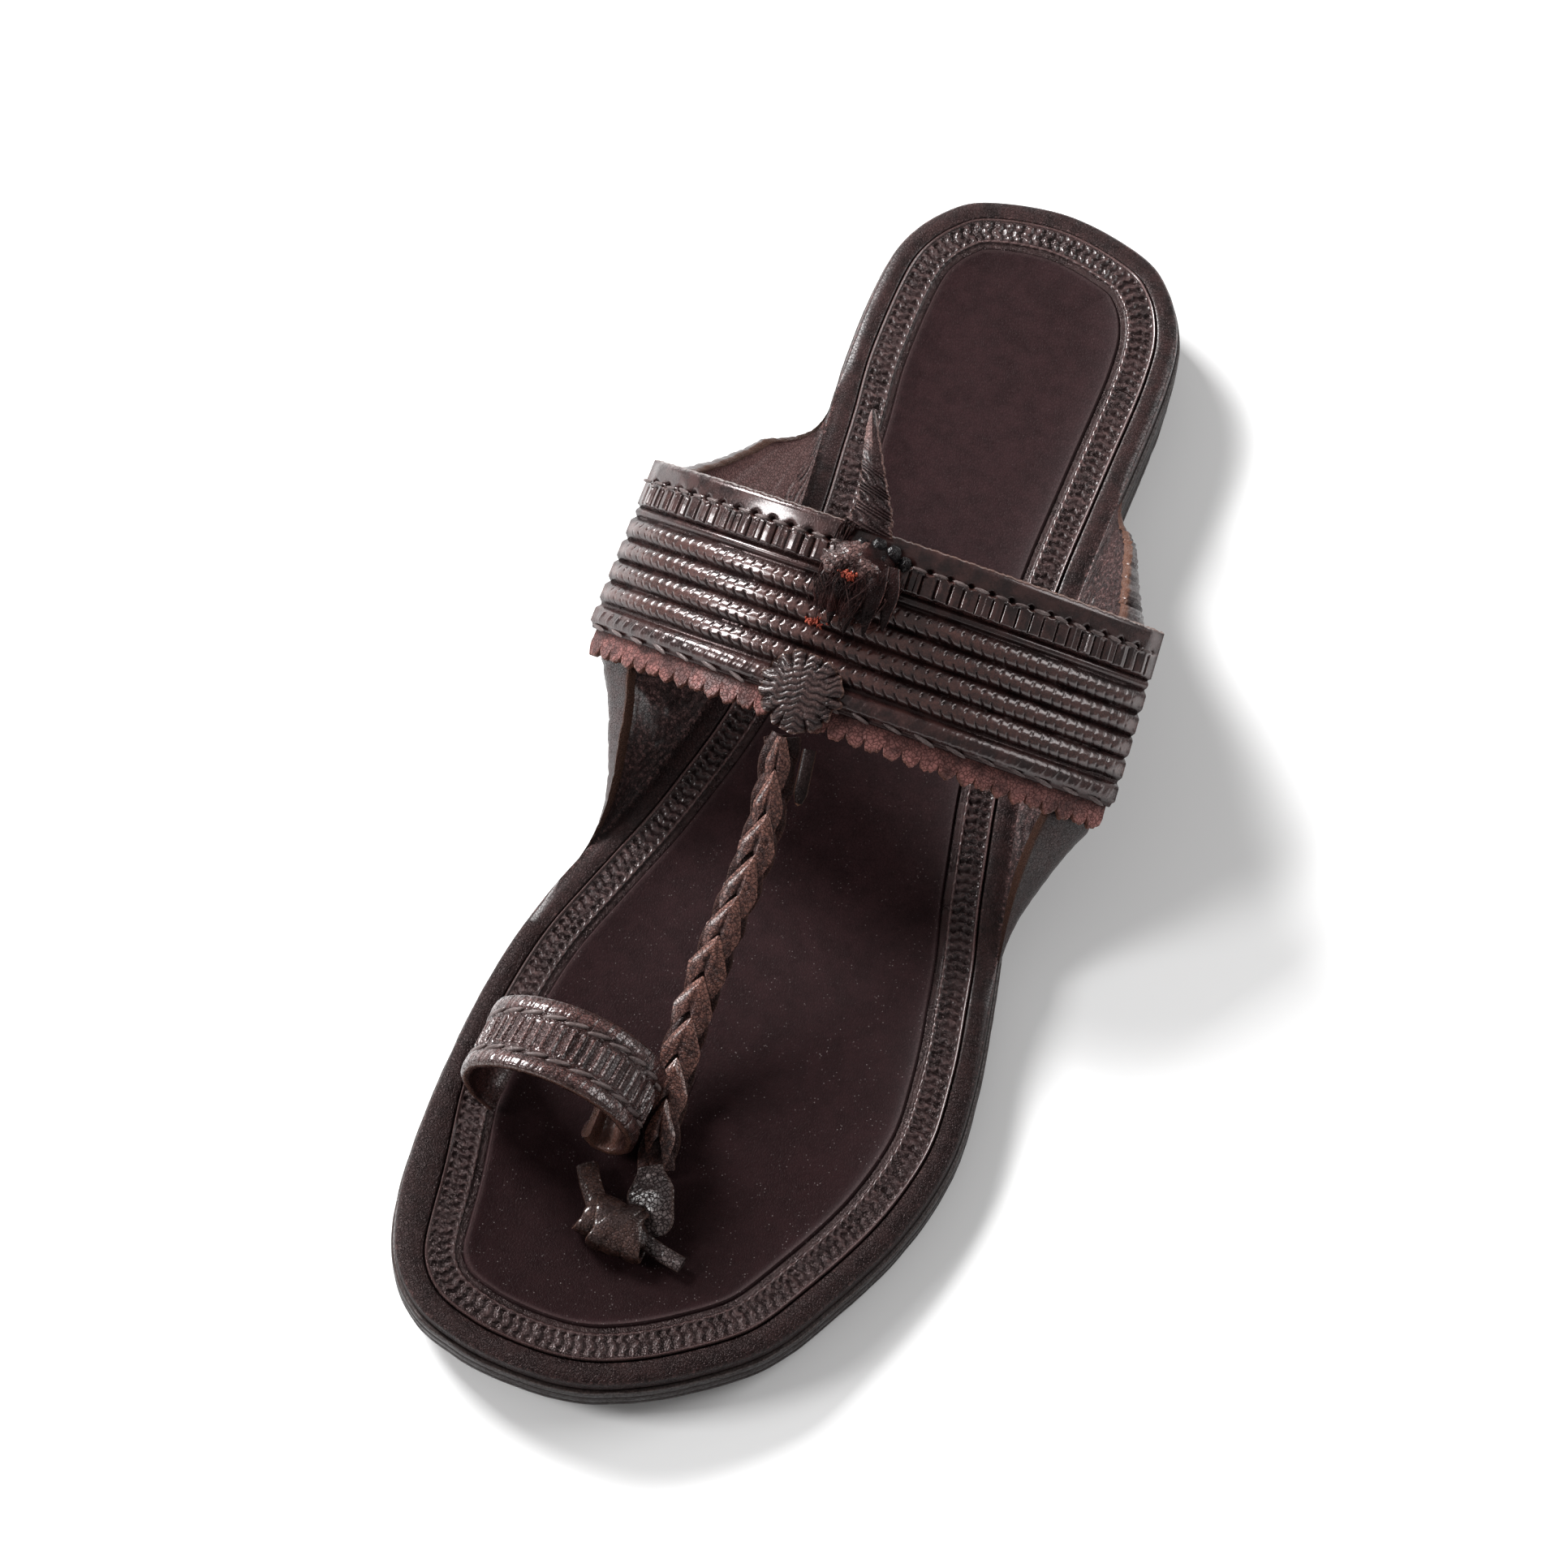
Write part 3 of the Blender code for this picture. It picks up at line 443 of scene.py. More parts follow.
INSOLE_THICKNESS = 3.0
INSOLE_SETBACK = 0.8
MARGIN = 4.6
TOE_MARGIN_EXTRA = 2.6
TOE_MARGIN_STATION = 250.0
TOE_MARGIN_REACH = 26.0
MARGIN_COLUMNS = 760
GROOVE_DEPTH = 0.7
STRAP_TILT = math.radians(28.0)
STRAP_TURN = math.radians(1.2)
STRAP_FRONT = np.array((-1.6, -11.3, 50.0))
STRAP_HALF = 52.2
STRAP_FLARE = 2.0
STRAP_DROP = 24.0
STRAP_POWER = 2.4
STRAP_WIDTH = 39.8
LINING_TOP = -1.5
LINING_THICKNESS = 1.3
FLAP_THICKNESS = 2.0
FLAP_CLEARANCE = 0.3
FLAP_LAP = 12.0
FLAP_FRONT_LAP = 5.5
FLAP_REAR_LAP = 2.0
FLAP_TUCK = 3.0
FLAP_BOW = 8.0
FLAP_STEEP = 0.26
FLAP_CURL = 7.5
FLAP_FADE = 12.0
FLAP_LINES = 46
FLAP_RISE = np.linspace(0.0, 1.0, FLAP_LINES) ** 1.5
# side of the shoe, then for the ear's front and rear: its root's station, powers of its rise and lean
FLAPS = (
    (-1, (191.0, 1.5, 0.5), (50.0, 1.7, -0.4)),
    (1, (174.0, 1.2, 0.2), (53.0, 1.1, 0.0)),
)
STRAP_ACROSS = np.array((math.cos(STRAP_TURN), math.sin(STRAP_TURN), 0.0))
STRAP_WAY = np.array((-math.sin(STRAP_TURN), math.cos(STRAP_TURN), 0.0)) * math.cos(STRAP_TILT)
STRAP_WAY[2] = math.sin(STRAP_TILT)
STRAP_OUT = np.cross(STRAP_ACROSS, STRAP_WAY)


def insole_top(y):
    return underside(y) + OUTSOLE_THICKNESS + GAP + INSOLE_THICKNESS


def on_strap(side, from_rear, height):
    """Points over the strap: side runs from -1 to 1 across it, from_rear and height are millimetres."""
    side, from_rear, height = (a[..., None] for a in np.broadcast_arrays(side, from_rear, height))
    half = STRAP_HALF + STRAP_FLARE * (from_rear / STRAP_WIDTH)
    fall = -STRAP_DROP * np.abs(side) ** STRAP_POWER
    slope = -STRAP_DROP * STRAP_POWER * np.abs(side) ** (STRAP_POWER - 1.0) * np.sign(side) / half
    out = (STRAP_OUT - slope * STRAP_ACROSS) / np.hypot(1.0, slope)
    middle = STRAP_FRONT + STRAP_WAY * (STRAP_WIDTH - from_rear)
    return middle + STRAP_ACROSS * (side * half) + STRAP_OUT * fall + out * height


def bezier(handles, count):
    t = np.linspace(0.0, 1.0, count)[:, None]
    weights = ((1 - t) ** 3, 3 * (1 - t) ** 2 * t, 3 * (1 - t) * t**2, t**3)
    return sum(weight * point for weight, point in zip(weights, handles))


def ear_line(side, root, front, rear, torn):
    """One line up an ear's inner face, from the insole's edge to the ear's free end."""
    depth = LINING_TOP - LINING_THICKNESS - FLAP_CLEARANCE - FLAP_THICKNESS
    start = 1.0 - FLAP_TUCK / STRAP_HALF
    rear_y = on_strap(side * start, 0.0, depth)[1]
    front_y = on_strap(side * start, STRAP_WIDTH, depth)[1]
    y = float(np.clip(root[1], front_y, rear_y))
    from_rear = STRAP_WIDTH * (rear_y - y) / (rear_y - front_y)
    off_middle = abs(2.0 * from_rear / STRAP_WIDTH - 1.0)
    edge = FLAP_REAR_LAP + (FLAP_FRONT_LAP - FLAP_REAR_LAP) * from_rear / STRAP_WIDTH
    lap = edge + (FLAP_LAP - edge) * math.sqrt(max(1.0 - off_middle**3, 0.0))
    under = on_strap(side * np.linspace(start, start - lap / STRAP_HALF, 5), from_rear, depth)
    end, power, lean = front if root[1] < y else rear
    rise_share = 1.0 if root[1] == y else (end - root[1]) / (end - y)
    rise_share = min(max(rise_share * (1.0 - torn), 0.02), 1.0)
    corner = unit(under[0] - under[1])
    base = np.array((root[0], y, root[2]))
    rise = under[0, 2] - root[2]
    bow = base + (side * FLAP_BOW, 0.0, FLAP_STEEP * rise)
    handles = (base, bow, under[0] + corner * FLAP_CURL, under[0])
    line = np.vstack((bezier(handles, 24), under[1:]))
    line = points_at(line, FLAP_RISE * lengths(line)[-1])
    line = root + (line - base) * rise_share**power * (rise_share**lean, 1.0, 1.0)
    straight = root + FLAP_RISE[:, None] * (line[-1] - root)
    return straight + (line - straight) * rise_share**0.6


def insole_outline(count):
    """The insole's outline, its normals, shares of the way round it, and the width of the margin there."""
    ring, normal, share = sole_outline(count, INSOLE_SETBACK)
    near_toe = np.clip(1.0 - np.abs(HALF - ring[:, 1] - TOE_MARGIN_STATION) / TOE_MARGIN_REACH, 0.0, 1.0)
    margin = MARGIN + TOE_MARGIN_EXTRA * smooth(near_toe) * (ring[:, 0] < 0)
    return ring, normal, share, margin + waver(share, 0.16, 9, 11)


def sole_row(ring, normal, inset, drop, inward=0.0):
    """A row of points on the insole: this far in from its edge and this far below its top."""
    flat = toward_middle(ring - normal * np.broadcast_to(inset, len(ring))[:, None], inward)
    return np.column_stack((flat, insole_top(flat[:, 1]) - drop))


# the rolled margin and the ears
ring, normal, share, margin = insole_outline(MARGIN_COLUMNS)
station = HALF - ring[:, 1]
ear = np.zeros(len(ring))
held = {}
for side, front, rear in FLAPS:
    inside = (ring[:, 0] * side > 0) & (station < front[0]) & (station > rear[0])
    middle, reach = (front[0] + rear[0]) / 2, (front[0] - rear[0]) / 2
    ear += inside * smooth((reach - np.abs(station - middle)) / FLAP_FADE)
    roots_y = ring[inside, 1]
    for k in np.flatnonzero(inside):
        held[k] = (side, (roots_y.min(), *front[1:]), (roots_y.max(), *rear[1:]))
roll = 1.0 - ear
bump = waver(share, 0.07, 60, 12)
# inset, drop, how rubbed and how shaded, from the groove out over the roll of the edge
MARGIN_ROWS = (
    (margin + 0.5, INSOLE_THICKNESS - 0.1, 0.0, 1.0),
    (margin + 0.15, GROOVE_DEPTH + 0.3, 0.0, 1.0),
    (margin, GROOVE_DEPTH + 0.05, 0.0, 1.0),
    (margin - 0.12, 0.42, 0.1, 0.7),
    (margin - 0.26, 0.16, 0.4, 0.2),
    (margin - 0.55, 0.03, 0.45, 0.0),
    (margin - 1.1, -0.04 + bump, 0.22, 0.0),
    (margin * 0.62, -0.14 + bump, 0.18, 0.0),
    (margin * 0.45, -0.17 - bump, 0.18, 0.0),
    (1.5, -0.1 + 0.1 * roll + bump, 0.26, 0.0),
    (0.8, 0.12 * roll, 0.4, 0.0),
    (0.35, 0.4 * roll, 0.55, 0.0),
    (0.1, 0.75 * roll, 0.6, 0.0),
)
rows = [sole_row(ring, normal, inset, drop) for inset, drop, *_ in MARGIN_ROWS]
top = sole_row(ring, normal, 0.0, roll * 1.1)
bottom = sole_row(ring, normal, 0.0, INSOLE_THICKNESS)
inner = np.empty((FLAP_LINES, len(ring), 3))
rise = FLAP_RISE[:, None]
torn = np.abs(waver(share, 0.5, 160, 13)) * 0.10 * (ring[:, 0] > 0) * (ring[:, 1] > 20.0)
torn = torn + np.abs(waver(share, 0.5, 120, 14)) * 0.03
for k in range(len(ring)):
    if k in held:
        side, front, rear = held[k]
        inner[:, k] = ear_line(side, top[k], front, rear, torn[k])
    else:
        inner[:, k] = top[k] + (bottom[k] - top[k]) * rise * 0.5
ears = np.array([k in held for k in range(len(ring))])
sign = np.where(ring[:, 0] < 0, -1.0, 1.0)
upward = np.gradient(inner, axis=0)
lean = (1.0 - rise[..., None]) * np.array((0.0, 1.0, 0.0)) + rise[..., None] * STRAP_WAY
outward = np.cross(upward, lean) * -sign[None, :, None]
outward /= np.maximum(np.linalg.norm(outward, axis=2), 1e-9)[..., None]
size = np.linalg.norm(inner[-1] - inner[0], axis=1)
# the creases where the ear bends up from the sole, and the slack of worn leather
zone = smooth(rise / 0.03) * smooth((0.30 - rise) / 0.16)
folds = np.sin(math.tau * (rise * 17.0 + 0.35 * np.sin(share * 300.0) + 0.6 * waver(share, 1.0, 30, 16)))
breaks = smooth(0.55 + waver(share[None] + 0.6 * rise, 0.9, 150, 17))
crease = zone * (0.5 - 0.5 * folds) * breaks
slack = waver(share[None] + 0.35 * rise, 0.5, 26, 15) * np.sin(math.pi * rise) ** 0.5
shift = ears * np.clip(size / 25.0, 0.0, 1.0) * (0.4 * slack - 0.95 * crease)
outer = inner + outward * FLAP_THICKNESS
inner = inner - outward * (shift * np.sin(math.pi * np.clip(rise * 1.1, 0.0, 1.0)))[..., None]
# where the ear is low, its wall goes over into the insole's plain edge
tall = ears * smooth((size - 0.5) / 15.0)
grown = tall[None, :, None]
half_way = 0.5 * rise[..., None]
inner = (top + (bottom - top) * half_way) * (1.0 - grown) + inner * grown
outer = (top + (bottom - top) * (1.0 - half_way)) * (1.0 - grown) + outer * grown
outer[0] = bottom
thin = np.array((0.28, 0.72))[:, None, None]
rim = inner[-1] + (outer[-1] - inner[-1]) * thin + np.where(ears[:, None], upward[-1] * 0.25, 0.0)
rows = np.concatenate((np.array(rows), inner, rim, outer[::-1], rows[:1]))
# the marks: the edge that shows raw hide, painted shade in the creases, and a painted highlight on the ears'
# inner faces
ear_start = len(MARGIN_ROWS)
rim_start = ear_start + FLAP_LINES - 1
rear_tear = smooth((ring[:, 1] - 25.0) / 20.0) * (ring[:, 0] > 0)
raw, low, high = np.zeros(rows.shape[:2]), np.zeros(rows.shape[:2]), np.full(rows.shape[:2], 0.3)
raw[rim_start - 1] = 0.5 * tall
raw[rim_start : rim_start + 4] = tall
raw = raw * (0.45 + 0.55 * rear_tear)
low[:ear_start] = np.array([row[-1] for row in MARGIN_ROWS])[:, None]
low[ear_start : ear_start + FLAP_LINES] = ears * 0.75 * crease
# painted shade: the margin darkens toward the toe, less on the ears
low += 0.8 * smooth((20.0 - ring[:, 1]) / 90.0) * (1.0 - low) * (1.0 - 0.6 * ears)
low[rim_start : rim_start + 4] = ears * (1.0 - rear_tear)
high[:ear_start] = np.array([row[-2] for row in MARGIN_ROWS])[:, None]
high[rim_start : rim_start + 4] = 0.15
ear_painted_highlight = 0.28 + np.where(ring[:, 0] < 0, 0.97, -0.03) * smooth((ring[:, 1] - 10.0) / 20.0)
high[ear_start:rim_start] = (0.3 + tall * (1.0 - crease) * ear_painted_highlight)[: FLAP_LINES - 1]
margin_skin = lay_skin("insole_margin", rows, angle=60.0, high=high, low=low, raw=raw)
HIDE_DARK = (0.0080, 0.0042, 0.0042)
HIDE_BROWN = (0.030, 0.0125, 0.0120)
margin_leather = leather(
    "Margin leather", HIDE_DARK, HIDE_BROWN, worn=(0.34, 0.185, 0.175),
    rough=(0.30, 0.5), grain=1.5, relief=0.16, wear=0.8, dust=0.2, shine=0.6,
)
fit(margin_skin, "insole", margin_leather)

# the tooled border: worm-shaped slots stand side by side across the band, with a spiky lip and a channel
# beside them toward the middle
SLOT_PITCH = 2.08
SLOT_DEPTH = 0.52
FIELD_START = 0.85
FIELD_END = 5.35
FIELD_ROWS = 29
BORDER_WIDTH = 7.4
BORDER_COLUMNS = 2120
# past the margin, drop, how rubbed and how shaded
# the outer lip's crest is rubbed past 1: worn lighter, and painted lighter as a highlight
OUTER_LIP = (
    (0.2, 2.2, 0.0, 1.0), (0.0, 0.5, 0.0, 0.9), (0.06, 0.12, 0.4, 0.2), (0.16, -0.18, 1.2, 0.0),
    (0.32, -0.32, 1.5, 0.0), (0.5, -0.24, 1.3, 0.0), (0.7, 0.0, 0.4, 0.1),
)
INNER_CHANNEL = (
    (5.5, -0.10, 0.9, 0.0), (5.7, 0.0, 0.8, 0.0), (5.9, 0.28, 0.2, 0.4), (6.15, 0.44, 0.1, 0.5),
    (6.5, 0.48, 0.2, 0.3), (6.8, 0.50, 0.2, 0.3), (7.0, 0.53, 0.1, 0.5), (7.25, 0.62, 0.0, 0.8),
    (7.3, 2.2, 0.0, 1.0),
)
ring, normal, _, margin = insole_outline(BORDER_COLUMNS)
length = lengths(ring - normal * (margin + 3.0)[:, None])
slots = round(length[-1] / SLOT_PITCH)
turn = length / length[-1] * slots
draw = np.random.default_rng(21)
nudge, sway, force = (draw.uniform(-1.0, 1.0, slots) for _ in range(3))
number = np.floor(turn).astype(int) % slots
lines = [(sole_row(ring, normal, margin + inset, drop), *marks) for inset, drop, *marks in OUTER_LIP]
for inset in np.linspace(FIELD_START, FIELD_END, FIELD_ROWS):
    across = (inset - FIELD_START) / (FIELD_END - FIELD_START)
    lean = 0.13 * math.sin(math.tau * 1.5 * across) * (1.0 + 0.4 * sway[number]) + 0.07 * nudge[number]
    swing = math.cos(math.tau * 3.0 * (across - 0.17))
    off = np.abs(turn % 1.0 - 0.5 + lean) / (0.27 + 0.10 * swing)
    tip = 0.10 + 0.05 * force[number]
    tip = tip * np.abs(math.tau * (turn % 1.0 - 0.5)) / 6.0
    slot = np.clip(1.0 - off**2, 0.0, 1.0) ** 0.6 * (0.8 + 0.2 * force[number])
    lump = 0.09 * (1.0 - slot) * (0.5 + 0.5 * swing)
    slot = slot * (smooth(across / 0.07) * smooth((1.0 - across - tip) / 0.07))
    # painted shade darkens the slots; the ribs between them are rubbed lighter
    rubbed = np.clip(1.0 - 1.7 * slot, 0.0, 1.0) * (0.5 + 2.0 * lump)
    lines.append((sole_row(ring, normal, margin + inset, SLOT_DEPTH * slot - lump), rubbed, slot * 0.85))
teeth = 0.5 + 0.5 * np.cos(math.tau * turn)
for inset, drop, *marks in INNER_CHANNEL:
    on_lip = inset < 5.8
    at = margin + inset + 0.16 * teeth * on_lip
    lines.append((sole_row(ring, normal, at, drop + 0.10 * (1.0 - teeth) * on_lip), *marks))
rows, high, low = zip(*lines, lines[0])
# painted shade: the border darkens toward the toe
border_toe_painted_shade = 0.72 * smooth(-ring[:, 1] / 100.0)
low = [shaded + border_toe_painted_shade * (1.0 - shaded) for shaded in low]
border_leather = leather(
    "Border leather", HIDE_DARK, HIDE_BROWN, worn=(0.18, 0.10, 0.095),
    rough=(0.22, 0.4), grain=2.4, relief=0.07, wear=0.6, dust=0.15, shine=1.0,
)
fit(lay_skin("insole_border", rows, high=high, low=low), "insole", border_leather)

# the dished middle, matte and finely grained; the lip at its edge is rubbed and painted bright as a highlight
DISH_DEPTH = 1.0
DISH_LIP = 0.8
DISH_REACH = 5.0
ring, normal, _, margin = insole_outline(SOLE_COLUMNS)
edge = margin + BORDER_WIDTH
# share of the way to the middle, past the border, drop (None in the dish), how rubbed and how shaded
DISH_ROWS = (
    (0.97, 0.0, 2.4, 0.0, 0.0), (0.45, 0.0, 2.4, 0.0, 0.0), (0.0, 0.1, 2.4, 0.0, 1.0),
    (0.0, -0.1, 0.64, 0.0, 0.9), (0.0, 0.06, 0.50, 0.5, 0.4), (0.0, 0.2, 0.22, 1.4, 0.0),
    (0.0, 0.38, 0.02, 1.6, 0.0), (0.0, 0.8, None, 0.8, 0.0), (0.0, 1.2, None, 0.4, 0.0),
    (0.0, 2.0, None, 0.2, 0.0), (0.0, 3.2, None, 0.15, 0.0), (0.0, 5.0, None, 0.15, 0.0),
    (0.12, 5.0, None, 0.15, 0.0), (0.26, 5.0, None, 0.15, 0.0), (0.42, 5.0, None, 0.15, 0.0),
    (0.60, 5.0, None, 0.15, 0.0), (0.80, 5.0, None, 0.15, 0.0), (0.97, 5.0, None, 0.15, 0.0),
)
lines = []
lip = ring - normal * (edge + DISH_LIP)[:, None]
for inward, past, drop, rubbed, shaded in DISH_ROWS:
    inset = edge + past
    if drop is None:
        off_lip = toward_middle(ring - normal * inset[:, None], inward) - lip
        drop = 0.08 + DISH_DEPTH * (1.0 - np.exp(-np.linalg.norm(off_lip, axis=1) / DISH_REACH))
    row = sole_row(ring, normal, inset, drop, inward)
    # painted shade: the footbed darkens toward the toe
    toe_painted_shade = 0.95 * smooth((5.0 - row[:, 1]) / 125.0) * (shaded < 0.1)
    lines.append((row, rubbed, np.maximum(shaded, toe_painted_shade * (1.0 - rubbed))))
rows, high, low = zip(*lines)
footbed = leather(
    "Footbed leather", (0.0150, 0.0062, 0.0070), (0.0235, 0.0098, 0.0110), (0.045, 0.027, 0.027),
    rough=(0.46, 0.58), grain=1.7, relief=0.08, wear=0.4, dust=0.42, shine=0.2, cracks=0.3,
)
fit(lay_skin("insole_middle", rows, fill=True, high=high, low=low), "insole", footbed)

# Strap lining
# The lining is a thin soft leather, glued under the strap and over the ears. Its front edge stands past the
# strap's and is pinked in small round scallops, and the cut edge shows the reddish tan of the raw hide.

SCALLOP_COUNT = 32
SCALLOP_ROOT = 38.2
SCALLOP_DEPTH = 2.1
SCALLOP_STEPS = 16


def strap_sides(count):
    """Side values at equal distances along the strap's curve, and its length in millimetres."""
    fine = np.linspace(-1.0, 1.0, 801)
    length = lengths(on_strap(fine, STRAP_WIDTH / 2, 0.0))
    return np.interp(np.linspace(0.0, length[-1], count), length, fine), length[-1]


sides, _ = strap_sides(SCALLOP_COUNT * SCALLOP_STEPS + 1)
scallop = np.arange(len(sides)) % SCALLOP_STEPS / SCALLOP_STEPS
share = np.linspace(0.0, 1.0, len(sides))
tip = np.sqrt(1.0 - (2.0 * scallop - 1.0) ** 2)
front = SCALLOP_ROOT + (SCALLOP_DEPTH + waver(share, 0.45, 34, 31)) * tip
front = front + waver(share, 0.14, 160, 33)
sag = np.minimum(waver(share, 0.16, 24, 32), 0.0) * 0.5
under = LINING_TOP - LINING_THICKNESS
# from the rear edge, or back from the scallops where it is 0 or less, then height, how raw and how shaded
LINING_ROWS = (
    (0.5, under + 0.3, 0.0, 0.0), (0.5, LINING_TOP - 0.3, 0.0, 0.5), (0.9, LINING_TOP, 0.0, 1.0),
    (12.0, LINING_TOP, 0.0, 1.0), (24.0, LINING_TOP, 0.0, 1.0), (34.5, LINING_TOP, 0.0, 1.0),
    (35.6, LINING_TOP, 0.0, 0.7), (36.6, LINING_TOP, 0.0, 0.2), (-1.2, LINING_TOP + 0.02, 0.0, 0.0),
    (-0.5, LINING_TOP + 0.1, 0.15, 0.0), (-0.15, LINING_TOP + 0.02, 0.4, 0.0),
    (0.0, LINING_TOP - 0.25, 0.7, 0.0), (0.0, under + 0.3, 1.0, 0.0), (-0.3, under, 0.4, 0.0),
    (-2.0, under, 0.0, 0.0), (26.0, under, 0.0, 0.0), (14.0, under, 0.0, 0.0), (0.9, under, 0.0, 0.0),
    (0.5, under + 0.3, 0.0, 0.0),
)
rows = []
for from_rear, height, *_ in LINING_ROWS:
    at = front + from_rear if from_rear <= 0.0 else np.full(len(sides), from_rear)
    rows.append(on_strap(sides, at, height + sag * (at > 37.0)))
raw, low = list(zip(*LINING_ROWS))[2:]
lining_leather = leather(
    "Lining leather", (0.065, 0.026, 0.024), (0.27, 0.108, 0.097), (0.44, 0.22, 0.19),
    rough=(0.36, 0.58), grain=1.3, relief=0.14, wear=0.75, shine=0.5, cracks=0.7,
)
fit(lay_skin("lining_leather", rows, fill=True, raw=raw, low=low, high=0.35), "strap_lining", lining_leather)

# Instep strap
# The strap is one stiff leather worked in relief: a plain rear band, a row of ladder stitches under a waved
# edge, four plaited cords and a plain front band. Its crests are waxed and rubbed bright, and painted shade
# darkens its troughs.

COVER_FRONT = 35.2
COVER_INSIDE = -1.2
# height over the strap's mean surface at distances from its rear edge
STRAP_PROFILE = (
    (0.0, -0.3), (0.25, 0.75), (0.8, 1.22), (2.4, 1.2), (4.0, 1.08), (4.5, 0.95), (4.8, 1.2),
    (7.0, 1.3), (8.8, 1.3), (9.25, 1.1), (9.5, 0.2), (9.75, -0.3), (10.2, 0.15), (10.7, 0.4),
    (11.2, 0.15), (11.7, -0.35), (30.4, -0.35), (31.0, 0.5), (31.7, 0.92), (32.4, 1.02), (33.2, 0.95),
    (33.9, 0.6), (34.4, -0.25), (35.0, -0.35), (35.2, -0.7),
)
CORD_START = 11.9
CORD_PITCH = 4.5
CORD_COUNT = 4
CORD_TROUGH = -0.35
CORD_RISE = 1.4
PLAIT_PITCH = 2.25
LADDER_PITCH = 2.75
WAVE_PITCH = 4.1
WAVE_AT = 4.75
HOLES_AT = 4.35
LADDER_START, LADDER_END = 4.9, 9.35
BAND_START, BAND_END = 31.2, 33.9
STRAP_COLUMNS = 740
STITCH_HEIGHT = 0.75


def bell(value, middle, width):
    """1 at the middle, falling off smoothly on both sides."""
    return np.exp(-(((value - middle) / width) ** 2))


def strap_relief(along, from_rear, share):
    """The worked relief of the strap's face, its rubbed crests and its dark creases."""
    height = np.interp(from_rear, *zip(*STRAP_PROFILE))
    height = height + np.zeros(np.broadcast_shapes(along.shape, from_rear.shape))
    # the crests are rubbed lighter, and painted shade darkens the troughs
    high = np.clip((height - 0.7) / 0.6, 0.0, 1.0) * 0.45
    low = np.clip((0.1 - height) / 0.4, 0.0, 1.0) * 0.8
    ends = smooth(np.minimum(share, 1.0 - share) / 0.035)
    # the ladder: rungs with slits between them, under the waved edge with its stitch holes; painted shade
    # darkens the slits and the holes
    rungs = (along + waver(share, 0.35, 24, 41)) / LADDER_PITCH
    rung = np.abs(rungs % 1.0 - 0.5)
    band = smooth((from_rear - LADDER_START) / 0.5) * smooth((LADDER_END - from_rear) / 0.5)
    slit = np.clip(1.0 - (0.5 - rung) / 0.10, 0.0, 1.0) * band
    tilt = waver(np.floor(rungs) / 61.0, 0.5, 60, 47) * ((rungs + 0.5) % 1.0 - 0.5)
    height = height - 0.55 * slit * ends + band * (0.14 * np.cos(math.pi * rung) ** 2 + tilt)
    height = height + band * waver(np.floor(rungs) / 70.0, 0.16, 60, 44)
    high = np.maximum(high, band * (0.75 - 0.75 * slit) * smooth((rung - 0.1) / 0.3))
    low = np.maximum(low, slit * 0.85 * ends)
    wave = np.abs(np.sin(math.pi * along / WAVE_PITCH))
    crest = WAVE_AT - 0.6 * wave + waver(share, 0.15, 30, 42)
    raised = smooth((from_rear - crest) / 0.3) * smooth((crest + 1.1 - from_rear) / 0.7)
    height = height + 0.35 * raised
    high = np.maximum(high, raised * 1.1 * smooth((crest + 0.8 - from_rear) / 0.4))
    hole = (1.0 - wave) ** 2 * bell(from_rear, HOLES_AT, 0.45)
    height = height - 0.8 * np.clip(hole * 1.5, 0.0, 1.0) * ends
    low = np.maximum(low, np.clip(hole * 1.6, 0.0, 1.0) * ends)
    # the four plaited cords, with painted shade between them and in their cuts
    for cord in range(CORD_COUNT):
        middle = CORD_START + (cord + 0.5) * CORD_PITCH + waver(share, 0.12, 6, 43 + cord)
        off = (from_rear - middle) / (CORD_PITCH / 2)
        inside = np.abs(off) < 1.0
        round_up = np.clip(1.0 - np.abs(off) ** 2.3, 0.0, 1.0)
        lean = 0.62 * np.abs(off) + 0.09 * cord + 0.1 * waver(share, 1.0, 14, 50 + cord)
        strand = (along / PLAIT_PITCH - lean) % 1.0
        near_cut = np.minimum(strand, 1.0 - strand)
        comma = smooth((0.15 - near_cut) / 0.09) * bell(off, -0.40, 0.17)
        small = smooth((0.11 - np.abs(strand - 0.5)) / 0.08) * bell(off, -0.70, 0.10)
        groove = smooth((0.16 - near_cut) / 0.12) * smooth((off - 0.14) / 0.16)
        worn = 0.4 + 0.6 * smooth(np.abs(share - 0.5) * -2.2 + 1.1)
        bite = np.clip(comma + 0.8 * small + groove, 0.0, 1.0) * worn
        swell = smooth((off - 0.1) / 0.3) * 0.20 * (1.0 - strand)
        rope = CORD_TROUGH + CORD_RISE * round_up + (swell - 0.38 * bite) * ends * round_up**0.5
        height = np.where(inside, rope, height)
        high = np.where(inside, np.clip(round_up * 1.2 - 0.35, 0.0, 1.0) * (1.0 - bite), high)
        low = np.where(inside, np.maximum(0.95 * (1.0 - round_up) ** 1.2, bite * 0.9), low)
    # wrinkles of the plain front band
    band = smooth((from_rear - BAND_START) / 0.6) * smooth((BAND_END - from_rear) / 0.6)
    height = height + 0.10 * band * waver(share + 0.004 * from_rear, 1.0, 70, 60)
    return height * ends + (1.0 - ends) * np.minimum(height, 0.6), high, low


sides, strap_length = strap_sides(STRAP_COLUMNS + 1)
share = np.linspace(0.0, 1.0, len(sides))
along = share * strap_length
